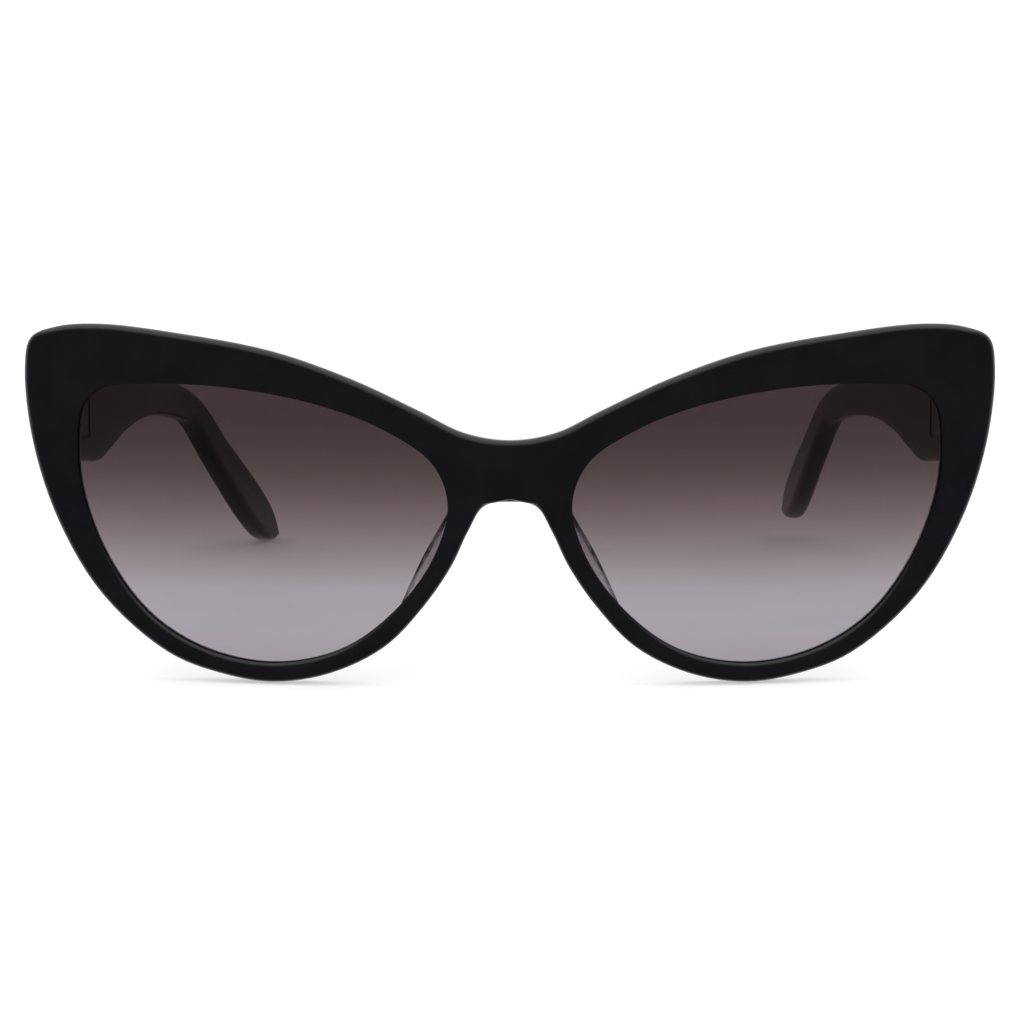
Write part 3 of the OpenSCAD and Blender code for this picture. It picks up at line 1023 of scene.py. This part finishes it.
    def raise_ends(self, bm: bmesh.types.BMesh) -> None:
        """Draws the end pieces out of the back, then rounds the rear edges."""
        inner_x = self.lens_gap / 2 + self.lens_w + self.end_in
        low_z = self.end_top - self.end_h
        planes = [
            ((0, 0, low_z), AXIS_Z), ((0, 0, self.end_top), AXIS_Z),
            ((inner_x, 0, 0), AXIS_X), ((-inner_x, 0, 0), AXIS_X),
        ]
        for point, normal in planes:
            back = [f for f in bm.faces if all(abs(v.co.y - self.thick) < TINY for v in f.verts)]
            geom = {*back, *(e for f in back for e in f.edges), *(v for f in back for v in f.verts)}
            bmesh.ops.bisect_plane(
                bm, geom=list(geom), dist=0.02, plane_co=point, plane_no=normal
            )
        ends = []
        for face in bm.faces:
            centre = face.calc_center_median()
            if (
                all(abs(v.co.y - self.thick) < TINY for v in face.verts)
                and abs(centre.x) > inner_x
                and low_z < centre.z < self.end_top
            ):
                ends.append(face)
        made = bmesh.ops.extrude_face_region(bm, geom=ends)
        verts = [g for g in made["geom"] if isinstance(g, bmesh.types.BMVert)]
        bmesh.ops.translate(bm, verts=verts, vec=AXIS_Y * (self.end_deep - self.thick))
        rear = [
            e for e in sharp_edges(bm, 50.0)
            if min(v.co.y for v in e.verts) > self.thick - TINY
        ]
        rounded(bm, rear, self.back_round, 3)

    def bend(self, bm: bmesh.types.BMesh) -> None:
        """Bends a flat mesh, whose y is its depth, to the front's radius."""
        for vert in bm.verts:
            vert.co.y = self.depth_y(vert.co.x, vert.co.y)


@dataclass
class Front:
    """The front with its lenses and its nose pads.

    Attributes:
        sheet: The acetate sheet.
        stand: How the glasses stand.
        finishes: The finishes.
        pad_z: Height of the middle of a pad.
        pad_len: Length of a pad.
        pad_out: How far a pad stands behind the rim.
        pad_half: Half its thickness across the nose.
        glue: Thickness of the glue under a pad.
    """

    sheet: FrontSheet
    stand: Stand
    finishes: Finishes
    pad_z: float = 18.0
    pad_len: float = 17.0
    pad_out: float = 4.6
    pad_half: float = 2.2
    glue: float = 0.02

    def make_frame(self, pockets: bmesh.types.BMesh) -> bpy.types.Object:
        """Builds the acetate front.

        Args:
            pockets: What the two hinge leaves take out of it, in the design frame.

        Returns:
            The piece.
        """
        bm = self.sheet.solid()
        self.sheet.bend(bm)
        bmesh.ops.recalc_face_normals(bm, faces=bm.faces[:])
        carve(bm, pockets)
        self.stand.settle(bm)
        return make_piece(
            bm, "acetate_front", "front", self.finishes.acetate, ["front_frame"]
        )

    def make_lens(self, side: Side) -> bpy.types.Object:
        """Builds a lens: a flat blank ringed towards its middle, then bent like the front.

        Args:
            side: Side of the head that it is on.

        Returns:
            The piece.
        """
        sheet = self.sheet
        line = grown(sheet.opening(), sheet.groove - 0.04)
        centre = sheet.lens_point(52, 55)
        bm = bmesh.new()
        ring = [bm.verts.new((p.x, 0.0, p.y)) for p in line]
        edges = [bm.edges.new(pair) for pair in pairwise([*ring, ring[0]])]
        rings = 9
        for k in range(rings):
            made = bmesh.ops.extrude_edge_only(bm, edges=edges)["geom"]
            edges = [g for g in made if isinstance(g, bmesh.types.BMEdge)]
            verts = [g for g in made if isinstance(g, bmesh.types.BMVert)]
            left = (rings + 0.4 - k - 1) / (rings + 0.4 - k)
            bmesh.ops.scale(
                bm, verts=verts, vec=(left, 1.0, left),
                space=Matrix.Translation((-centre.x, 0.0, -centre.y)),
            )
        bmesh.ops.holes_fill(bm, edges=edges, sides=0)
        bmesh.ops.translate(bm, verts=bm.verts, vec=AXIS_Y * sheet.lens_face)
        new_shell(bm, bm.faces[:], AXIS_Y * sheet.lens_t)
        sheet.bend(bm)
        self.stand.settle(bm, side)
        return make_piece(
            bm, f"tinted_lens_{side.word}", "front", self.finishes.lens,
            [f"lens_{side.word}"],
        )

    def make_pad(self, side: Side) -> bpy.types.Object:
        """Builds a nose pad: a clear bean that is glued to the back of the rim.

        Args:
            side: Side of the head that it is on.

        Returns:
            The piece.
        """
        sheet = self.sheet
        back = sheet.depth_y(0.0, sheet.thick)
        half_gap = sheet.lens_gap / 2
        half = self.pad_half
        reach = self.pad_len / 2
        # Place and radius of the bean at its upper end, its middle and its lower end
        spine = (
            (half_gap - sheet.rim_nose / 2 + 0.4, back + 0.4, self.pad_z + reach - half,
             half * 0.7),
            (half_gap + sheet.rim_nose / 2 + 0.2, back + self.pad_out - half, self.pad_z, half),
            (half_gap + sheet.rim_nose + 3.2, back + 0.8, self.pad_z - reach + half * 0.55,
             half * 0.55),
        )
        points = bmesh.new()
        for x, y, z, r in smooth_line([Vector(ball) for ball in spine], 5):
            bmesh.ops.create_icosphere(
                points, subdivisions=3, radius=r, matrix=Matrix.Translation((x, y, z))
            )
        bm = bmesh.new()
        for vert in points.verts:
            bm.verts.new(vert.co)
        points.free()
        bmesh.ops.convex_hull(bm, input=bm.verts[:])
        loose = [v for v in bm.verts if not v.link_faces]
        bmesh.ops.delete(bm, geom=loose, context="VERTS")
        return self.finish_pad(bm, side)

    def finish_pad(self, bm: bmesh.types.BMesh, side: Side) -> bpy.types.Object:
        """Seats a pad on the back of the rim, on its film of glue.

        Args:
            bm: Mesh of the whole bean.
            side: Side of the head that it is on.

        Returns:
            The piece.
        """
        sheet = self.sheet
        x = (sheet.lens_gap + sheet.rim_nose) / 2
        seat = Vector((x, sheet.depth_y(x, sheet.thick) + self.glue, 0.0))
        slope = Vector((-x, sheet.radius - sheet.thick, 0.0)).normalized()
        bmesh.ops.bisect_plane(
            bm, geom=[*bm.verts, *bm.edges, *bm.faces], plane_co=seat, plane_no=-slope,
            clear_outer=True,
        )
        rim = [e for e in bm.edges if e.is_boundary]
        bmesh.ops.holes_fill(bm, edges=rim, sides=0)
        bmesh.ops.recalc_face_normals(bm, faces=bm.faces[:])
        self.stand.settle(bm, side)
        return make_piece(
            bm, f"clear_nose_pad_{side.word}", "front", self.finishes.crystal,
            [f"nose_pad_{side.word}"],
        )


# ---- hinges --------------------------------------------------------------------------------


@dataclass
class Hinge:
    """A five-barrel hinge: three barrels on the front, two on the temple and one screw.

    Sizes are in millimetres, for the left side.

    Attributes:
        stand: How the glasses stand.
        finishes: The finishes.
        end_y: Flat back of the front's end piece.
        toe_in: Angle of the temple leaf, in degrees.
        barrel_r: Outer radius of a barrel.
        barrel_h: Length of a barrel.
        gap: Gap between two barrels.
        leaf_t: Thickness of a leaf.
        leaf_w: Width of the leaf on the front.
        leaf_len: Length of the leaf on the temple.
        screw_r: Radius of the screw.
        head_r: Radius of its head.
        inner_x: Inner face of the temple at the pin.
    """

    stand: Stand
    finishes: Finishes
    end_y: float
    toe_in: float = 7.0
    barrel_r: float = 1.4
    barrel_h: float = 1.6
    gap: float = 0.1
    leaf_t: float = 1.0
    leaf_w: float = 4.4
    leaf_len: float = 8.0
    screw_r: float = 0.7
    head_r: float = 1.05
    inner_x: float = 66.7

    @property
    def pin(self) -> Vector:
        """Middle of the hinge pin."""
        return self.stand.pin

    @property
    def stack(self) -> float:
        """Height of the five barrels together."""
        return 5 * self.barrel_h + 4 * self.gap

    def barrel_z(self, number: int) -> float:
        """Lower end of a barrel, counted from the bottom."""
        return self.pin.z - self.stack / 2 + number * (self.barrel_h + self.gap)

    def front_leaf_place(self, shift: float) -> Matrix:
        """Turns an upright plate so that it lies in the end piece's back, shift mm out of it."""
        x = self.pin.x - self.barrel_r + self.leaf_w / 2 + 0.4
        return Matrix.Translation((x, self.end_y + shift, self.pin.z)) @ Matrix.Rotation(
            math.pi / 2, 4, "X"
        )

    def temple_leaf_place(self, shift: float) -> Matrix:
        """Turns an upright plate so that it lies in the temple's inner face, shift mm out of it."""
        turned = Matrix.Translation((self.pin.x, self.pin.y, 0.0)) @ Matrix.Rotation(
            math.radians(self.toe_in), 4, "Z"
        )
        middle = self.barrel_r + (self.leaf_len - self.barrel_r) / 2
        inside = Matrix.Translation((self.inner_x - self.pin.x - shift, middle, self.pin.z))
        return turned @ inside @ Matrix.Rotation(math.pi / 2, 4, "Y")

    def front_pockets(self) -> bmesh.types.BMesh:
        """What both front leaves take out of the acetate front."""
        bm = bmesh.new()
        size = (self.leaf_w + 0.1, self.stack + 1.3, self.leaf_t + 2.05)
        add_rounded_plate(bm, size, 0.6, 0.0, self.front_leaf_place(2.0))
        bmesh.ops.mirror(
            bm, geom=[*bm.verts, *bm.edges, *bm.faces], matrix=Matrix.Identity(4),
            merge_dist=0.0, axis="X",
        )
        bmesh.ops.recalc_face_normals(bm, faces=bm.faces[:])
        return bm

    def temple_pocket(self, butt_y: float, room: float) -> list[bmesh.types.BMesh]:
        """Finds what the hinge takes out of a temple.

        Args:
            butt_y: Front end of the temple.
            room: Room round a barrel.

        Returns:
            The tools that cut the leaf's seat, the round of the barrels and the slot before them.
        """
        seat = bmesh.new()
        size = (self.stack + 0.3, self.leaf_len - self.barrel_r + 0.1, self.leaf_t + 3.05)
        add_rounded_plate(seat, size, 0.6, 0.0, self.temple_leaf_place(3.0))
        low, high = self.pin.z - self.stack / 2 - 0.5, self.pin.z + self.stack / 2 + 0.5
        radius = self.barrel_r + room
        drum = bmesh.new()
        bmesh.ops.create_cone(
            drum, cap_ends=True, segments=48, radius1=radius, radius2=radius, depth=high - low,
            matrix=Matrix.Translation((self.pin.x, self.pin.y, self.pin.z)),
        )
        slot = bmesh.new()
        add_bar(
            slot, (self.inner_x - 5, butt_y - 1, low),
            (self.pin.x + self.barrel_r * 0.7 + room, self.pin.y, high),
        )
        side = bmesh.new()
        add_bar(
            side, (self.inner_x - 5.02, butt_y - 1.02, low + 0.003),
            (self.pin.x, self.pin.y + radius, high - 0.003),
        )
        return [seat, drum, slot, side]

    def make_front_leaf(self, side: Side) -> bpy.types.Object:
        """Builds the leaf with three barrels that is sunk in the front's end piece."""
        bm = bmesh.new()
        size = (self.leaf_w, self.stack + 1.2, self.leaf_t)
        add_rounded_plate(bm, size, 0.6, 0.12, self.front_leaf_place(0.0))
        web = self.barrel_r * 0.7
        for number in (0, 2, 4):
            z = self.barrel_z(number)
            self.add_barrel(bm, number)
            add_bar(
                bm, (self.pin.x - web, self.end_y - 0.3, z),
                (self.pin.x + web, self.pin.y - self.screw_r - 0.12, z + self.barrel_h), 0.06,
            )
        self.stand.settle(bm, side)
        return make_piece(
            bm, f"front_hinge_leaf_{side.word}", "front", self.finishes.hinge,
            [f"hinge_front_leaf_{side.word}"],
        )

    def make_temple_leaf(self, side: Side) -> bpy.types.Object:
        """Builds the leaf with two barrels that is sunk in the temple."""
        bm = bmesh.new()
        size = (self.stack + 0.2, self.leaf_len - self.barrel_r, self.leaf_t)
        add_rounded_plate(bm, size, 0.6, 0.12, self.temple_leaf_place(0.0))
        leaf_x = self.inner_x - self.pin.x
        for number in (1, 3):
            z = self.barrel_z(number)
            self.add_barrel(bm, number)
            part = bmesh.new()
            add_bar(
                part, (leaf_x, self.screw_r + 0.12, z),
                (leaf_x + self.leaf_t, self.barrel_r + 0.6, z + self.barrel_h), 0.06,
            )
            turned = Matrix.Translation((self.pin.x, self.pin.y, 0.0)) @ Matrix.Rotation(
                math.radians(self.toe_in), 4, "Z"
            )
            bmesh.ops.transform(part, matrix=turned, verts=part.verts)
            merge_into(bm, part)
        self.stand.settle(bm, side)
        return make_piece(
            bm, f"temple_hinge_leaf_{side.word}", f"temple_{side.word}_arm",
            self.finishes.hinge, [f"hinge_temple_leaf_{side.word}"],
        )

    def add_barrel(self, bm: bmesh.types.BMesh, number: int) -> None:
        """Adds one barrel; the top one is opened out for the screw's head."""
        low = Vector((self.pin.x, self.pin.y, self.barrel_z(number)))
        bore = self.screw_r + 0.04
        sunk = 0.5 if number == 4 else 0.0
        add_tube(bm, low, bore, self.barrel_r, self.barrel_h - sunk, 0.12)
        if sunk:
            top = low + AXIS_Z * (self.barrel_h - sunk)
            add_tube(bm, top, self.head_r + 0.04, self.barrel_r, sunk, 0.1)

    def make_screw(self, side: Side) -> bpy.types.Object:
        """Builds the screw with its slotted head."""
        bm = bmesh.new()
        low = self.barrel_z(0) - 0.2
        bmesh.ops.create_cone(
            bm, cap_ends=True, segments=32, radius1=self.screw_r - 0.08, radius2=self.screw_r,
            depth=self.stack, matrix=Matrix.Translation(
                (self.pin.x, self.pin.y, low + self.stack / 2)
            ),
        )
        head = bmesh.new()
        head_low = self.barrel_z(4) + self.barrel_h - 0.5
        bmesh.ops.create_cone(
            head, cap_ends=True, segments=40, radius1=self.head_r, radius2=self.head_r, depth=0.8,
            matrix=Matrix.Translation((self.pin.x, self.pin.y, head_low + 0.4)),
        )
        rounded(head, [e for e in head.edges if all(v.co.z > head_low + 0.7 for v in e.verts)],
                0.12, 3)
        slot = bmesh.new()
        add_bar(
            slot, (self.pin.x - 2, self.pin.y - 0.15, head_low + 0.45),
            (self.pin.x + 2, self.pin.y + 0.15, head_low + 2),
        )
        carve(head, slot)
        merge_into(bm, head)
        self.stand.settle(bm, side)
        return make_piece(
            bm, f"hinge_screw_steel_{side.word}", "front", self.finishes.screw,
            [f"hinge_screw_{side.word}"],
        )


# ---- temples -------------------------------------------------------------------------------


@dataclass
class Temple:
    """A temple: a milled blank over a core wire, bent down and in behind the ear.

    Sizes are in millimetres. A place on it is (distance behind the pin, height).

    Attributes:
        side: Side of the head that it is on.
        hinge: Its hinge.
        hook_angle: Slope of its tip, in degrees.
        hook_toe: Angle by which its tip turns inwards, in degrees.
        root_h: Height where it meets the front.
        root_top: Its top edge there.
        root_drop: How much lower the tall part reaches at its rear end.
        root_len: Length of the tall part.
        taper_len: Length over which it narrows.
        shank_h: Height of the narrow part.
        thick: Thickness at the hinge.
        tip_t: Thickness from the bend on.
        straight_len: Length from the pin to the bend.
        hook_len: Length from the bend to the end.
        tip_h: Greatest height of the tip.
        droop: Slope of the straight part, in degrees.
        butt: Distance from the front end to the pin.
        edge: Width of the rounding of its long edges; the CAD edges are sharp.
    """

    side: Side
    hinge: Hinge
    hook_angle: float
    hook_toe: float
    root_h: float = 14.4
    root_top: float = 47.3
    root_drop: float = 1.2
    root_len: float = 17.0
    taper_len: float = 44.0
    shank_h: float = 6.0
    thick: float = 4.4
    tip_t: float = 3.8
    straight_len: float = 84.0
    hook_len: float = 57.0
    tip_h: float = 8.0
    droop: float = 3.4
    butt: float = 1.4
    edge: float = 1.5

    def top(self, place: float) -> Vector:
        """Point of the top edge of the straight part."""
        return Vector((place, self.root_top - place * math.tan(math.radians(self.droop))))

    def low(self, place: float) -> Vector:
        """Point of the lower edge of the narrow part."""
        return self.top(place) - Vector((0.0, self.shank_h))

    def hook(self, along: float, across: float) -> Vector:
        """Point of the tip.

        Args:
            along: Distance past the bend.
            across: Distance above the tip's middle line.

        Returns:
            The point.
        """
        angle = math.radians(self.hook_angle)
        bend = self.top(self.straight_len) - Vector((0.0, self.shank_h / 2))
        return (
            bend
            + along * Vector((math.cos(angle), -math.sin(angle)))
            + across * Vector((math.sin(angle), math.cos(angle)))
        )

    def taper(self, along: float, up: float) -> Vector:
        """Point of the lower edge where the tall part narrows, at shares of length and rise."""
        start = self.root_top - self.root_h - self.root_drop
        end = self.low(self.root_len + self.taper_len).y
        return Vector((self.root_len + self.taper_len * along, start + up * (end - start)))

    def outline(self) -> list[Vector]:
        """Outline from the side, from the front end along the top and back along the bottom."""
        length, tip, shank, span = self.hook_len, self.tip_h, self.shank_h, self.straight_len
        points = [
            self.top(0.0) + Vector((-self.butt, 0.0)), self.top(span / 3), self.top(span * 2 / 3),
            self.top(span - 8), self.hook(length * 0.1, shank * 0.52),
            self.hook(length * 0.38, shank * 0.58), self.hook(length - 15, tip / 2),
            self.hook(length - 6, tip * 0.41), self.hook(length - 1.6, tip * 0.2),
            self.hook(length, 0.0), self.hook(length - 1.6, -tip * 0.2),
            self.hook(length - 6, -tip * 0.41), self.hook(length - 15, -tip / 2),
            self.hook(length * 0.38, -shank * 0.55), self.hook(length * 0.05, -shank * 0.5),
            self.low(span - 9), self.low(self.root_len + self.taper_len), self.taper(0.66, 0.95),
            self.taper(0.35, 0.63), self.taper(0.18, 0.32), self.taper(0.0, 0.0),
        ]
        corner = Vector((-self.butt, self.root_top - self.root_h))
        return [*smooth_line(points, 6), corner]

    def plan(self, outer: bool) -> list[Vector]:
        """Inner or outer face from above, as (distance behind the pin, x)."""
        start, end = (self.thick, self.tip_t) if outer else (0.0, 0.0)
        first, lean = self.hinge.inner_x, math.tan(math.radians(self.hinge.toe_in))
        bend = first - (self.straight_len + self.butt) * lean
        reach = self.hook_len + self.tip_h
        return smooth_line([
            Vector((-self.butt, first + start)),
            Vector(((self.straight_len - self.butt) / 2, (first + bend) / 2 + (start + end) / 2)),
            Vector((self.straight_len, bend + end)),
            Vector((
                self.straight_len + reach,
                bend - reach * math.tan(math.radians(self.hook_toe)) + end,
            )),
        ], 6)

    def blank(self) -> bmesh.types.BMesh:
        """Mills the straight blank: its outline, its thickness and its rounded edges."""
        bm = bmesh.new()
        face = bm.faces.new([bm.verts.new((0.0, p.x, p.y)) for p in self.outline()])
        corner = min(
            face.verts, key=lambda v: (v.co.yz - self.taper(0.0, 0.0)).length
        )
        bmesh.ops.bevel(
            bm, geom=[corner], offset=2.2, offset_type="OFFSET", affect="VERTICES", segments=6,
            profile=0.5, material=-1,
        )
        new_shell(bm, bm.faces[:], AXIS_X * self.thick)
        front = -self.butt + TINY
        long_edges = [
            e for e in bm.edges
            if abs(e.verts[0].co.x - e.verts[1].co.x) < TINY
            and max(v.co.y for v in e.verts) > front
        ]
        rounded(bm, long_edges, self.edge, 5)
        rounded(
            bm,
            [e for e in bm.edges if all(v.co.y < front for v in e.verts)],
            0.15, 2,
        )
        step = 2.5
        place = step
        while place < self.straight_len + self.hook_len - 4:
            bmesh.ops.bisect_plane(
                bm, geom=[*bm.verts, *bm.edges, *bm.faces], dist=0.01, plane_co=(0, place, 0),
                plane_no=AXIS_Y,
            )
            place += step
        return bm

    def make_arm(self, butt_y: float, room: float) -> bpy.types.Object:
        """Builds the acetate of the temple.

        Args:
            butt_y: Its front end.
            room: Room round a barrel.

        Returns:
            The piece.
        """
        bm = self.blank()
        inner, outer = self.plan(False), self.plan(True)
        for vert in bm.verts:
            start, end = value_at(inner, vert.co.y), value_at(outer, vert.co.y)
            vert.co.x = start + (end - start) * vert.co.x / self.thick
        bmesh.ops.translate(bm, verts=bm.verts, vec=AXIS_Y * self.hinge.pin.y)
        bmesh.ops.recalc_face_normals(bm, faces=bm.faces[:])
        for tool in self.hinge.temple_pocket(butt_y, room):
            carve(bm, tool)
        self.hinge.stand.settle(bm, self.side)
        word = self.side.word
        return make_piece(
            bm, f"acetate_temple_{word}", f"temple_{word}_arm",
            self.hinge.finishes.acetate, [f"temple_{word}"],
        )

    def dress_wire(self) -> None:
        """Gives the core wire its finish; the frame's own shape of it stays."""
        node = frame["nodes"][f"temple_core_wire_{self.side.word}"]
        node.data.materials.clear()
        node.data.materials.append(self.hinge.finishes.wire)
        LOG.info("%s: the frame's shape, dressed", node.name)


# ---- studio --------------------------------------------------------------------------------


@dataclass
class Studio:
    """A white table, lit a little from below, in a white tent with dark flags round the front.

    Attributes:
        eye: Place of the camera, in metres.
        aim: Point that it looks at.
        focal: Focal length in millimetres on a 36 mm sensor.
        shift: Shift of the camera, across and up.
        glow: Brightness of the tent.
        flag: Brightness of the dark flags at the front and the sides, seen only in the gloss.
        behind: Brightness of the tent behind the glasses, in the gloss.
        overhead: Brightness of the tent overhead, in the gloss.
        table_glow: Brightness of the light under the table's white acrylic sheet.
        lamp_power: Power of the soft lamp overhead, in watts.
    """

    eye: Vector = field(default_factory=lambda: Vector((0.0, -0.57846, 0.09663)))
    aim: Vector = field(default_factory=lambda: Vector((0.0, -0.07046, 0.02663)))
    focal: float = 119.9
    shift: tuple[float, float] = (0.002, -0.0078)
    glow: float = 1.12
    flag: float = 0.08
    behind: float = 0.9
    overhead: float = 0.95
    table_glow: float = 0.5
    lamp_power: float = 2.0

    def build(self) -> None:
        """Sets up the camera, the table and the tent."""
        scene = bpy.context.scene
        scene.view_settings.view_transform = "Standard"
        scene.view_settings.look = "None"
        data = bpy.data.cameras.new("camera")
        data.lens = self.focal
        data.sensor_width = 36.0
        data.shift_x, data.shift_y = self.shift
        camera = bpy.data.objects.new("camera", data)
        scene.collection.objects.link(camera)
        camera.location = self.eye
        camera.rotation_mode = "QUATERNION"
        camera.rotation_quaternion = (self.aim - self.eye).to_track_quat("-Z", "Y")
        scene.camera = camera
        self.make_table()
        scene.world = self.make_tent()
        self.hang_lamp()

    def make_table(self) -> None:
        """Lays the table; the gloss of the acetate doesn't see it."""
        bm = bmesh.new()
        bmesh.ops.create_grid(bm, x_segments=8, y_segments=8, size=3.0)
        mesh = bpy.data.meshes.new("table")
        bm.to_mesh(mesh)
        bm.free()
        table = bpy.data.objects.new("table", mesh)
        bpy.context.scene.collection.objects.link(table)
        table.visible_glossy = False
        material = bpy.data.materials.new("sanded_opal_acrylic")
        material.use_nodes = True
        tree = material.node_tree
        tree.nodes.clear()
        # Opal acrylic, sanded matt: an even white with a faint mottle
        where = add_node(tree, "ShaderNodeTexCoord").outputs["Object"]
        mottle = add_node(
            tree, "ShaderNodeTexNoise", {"Scale": per_metre(30.0), "Detail": 2.0},
            {"Vector": where},
        )
        tone = add_node(tree, "ShaderNodeValToRGB", links={"Fac": mottle.outputs["Fac"]})
        set_ramp(tone, [(0.3, linear("#c6c6c6")), (0.7, linear("#cccccc"))])
        card = add_node(
            tree, "ShaderNodeBsdfPrincipled",
            {
                "Roughness": 1.0, "Specular IOR Level": 0.0, "Emission Strength": self.table_glow,
                "Emission Color": (1.0, 1.0, 1.0, 1.0),
            },
            {"Base Color": tone.outputs["Color"]},
        )
        add_node(tree, "ShaderNodeOutputMaterial", links={"Surface": card.outputs["BSDF"]})
        mesh.materials.append(material)

    def make_tent(self) -> bpy.types.World:
        """Makes the white surroundings; in the gloss they are dark in front and at the sides."""
        world = bpy.data.worlds.new("tent")
        world.use_nodes = True
        tree = world.node_tree
        tree.nodes.clear()
        where = add_node(tree, "ShaderNodeTexCoord").outputs["Generated"]
        part = add_node(tree, "ShaderNodeSeparateXYZ", links={0: where}).outputs
        level = add_node(
            tree, "ShaderNodeMapRange",
            {
                "interpolation_type": "SMOOTHSTEP", "From Min": -0.2, "From Max": 0.9,
                "To Min": self.flag, "To Max": self.behind,
            },
            {"Value": part["Y"]},
        )
        dark = add_node(
            tree, "ShaderNodeMapRange",
            {
                "interpolation_type": "SMOOTHSTEP", "From Min": 0.5, "From Max": 0.95,
                "To Max": self.overhead,
            },
            {"Value": part["Z"], "To Min": level.outputs["Result"]},
        )
        gloss = add_node(tree, "ShaderNodeLightPath").outputs["Is Glossy Ray"]
        strength = add_node(
            tree, "ShaderNodeMix", {"data_type": "FLOAT", 2: self.glow},
            {0: gloss, 3: dark.outputs["Result"]},
        )
        back = add_node(
            tree, "ShaderNodeBackground", {"Color": (1.0, 1.0, 1.0, 1.0)},
            {"Strength": strength.outputs[0]},
        )
        add_node(tree, "ShaderNodeOutputWorld", links={"Surface": back.outputs["Background"]})
        return world

    def hang_lamp(self) -> None:
        """Hangs a large soft lamp over the table."""
        data = bpy.data.lights.new("overhead", "AREA")
        data.shape = "RECTANGLE"
        data.size, data.size_y = 1.6, 1.2
        data.energy = self.lamp_power
        lamp = bpy.data.objects.new("overhead", data)
        lamp.location = (0.0, 0.15, 0.9)
        bpy.context.scene.collection.objects.link(lamp)


# ---- all of it -----------------------------------------------------------------------------


def main() -> None:
    """Builds the sunglasses and the studio."""
    logging.basicConfig(level=logging.INFO, format="%(message)s")
    sheet = FrontSheet()
    joint_gap = 0.2
    butt_y = sheet.end_y + joint_gap
    barrel_r = 1.4
    stand = Stand(Vector((67.4, butt_y + barrel_r, 40.3)))
    finishes = Finishes()
    hinge = Hinge(stand, finishes, sheet.end_y, barrel_r=barrel_r)
    front = Front(sheet, stand, finishes)
    front.make_frame(hinge.front_pockets())
    for side in Side:
        front.make_lens(side)
        front.make_pad(side)
        hinge.make_front_leaf(side)
        hinge.make_screw(side)
        hinge.make_temple_leaf(side)
    for temple in (
        Temple(Side.LEFT, hinge, hook_angle=23.5, hook_toe=4.0),
        Temple(Side.RIGHT, hinge, hook_angle=28.5, hook_toe=13.5),
    ):
        temple.make_arm(butt_y, joint_gap)
        temple.dress_wire()
    Studio().build()


if __name__ == "__main__":
    main()
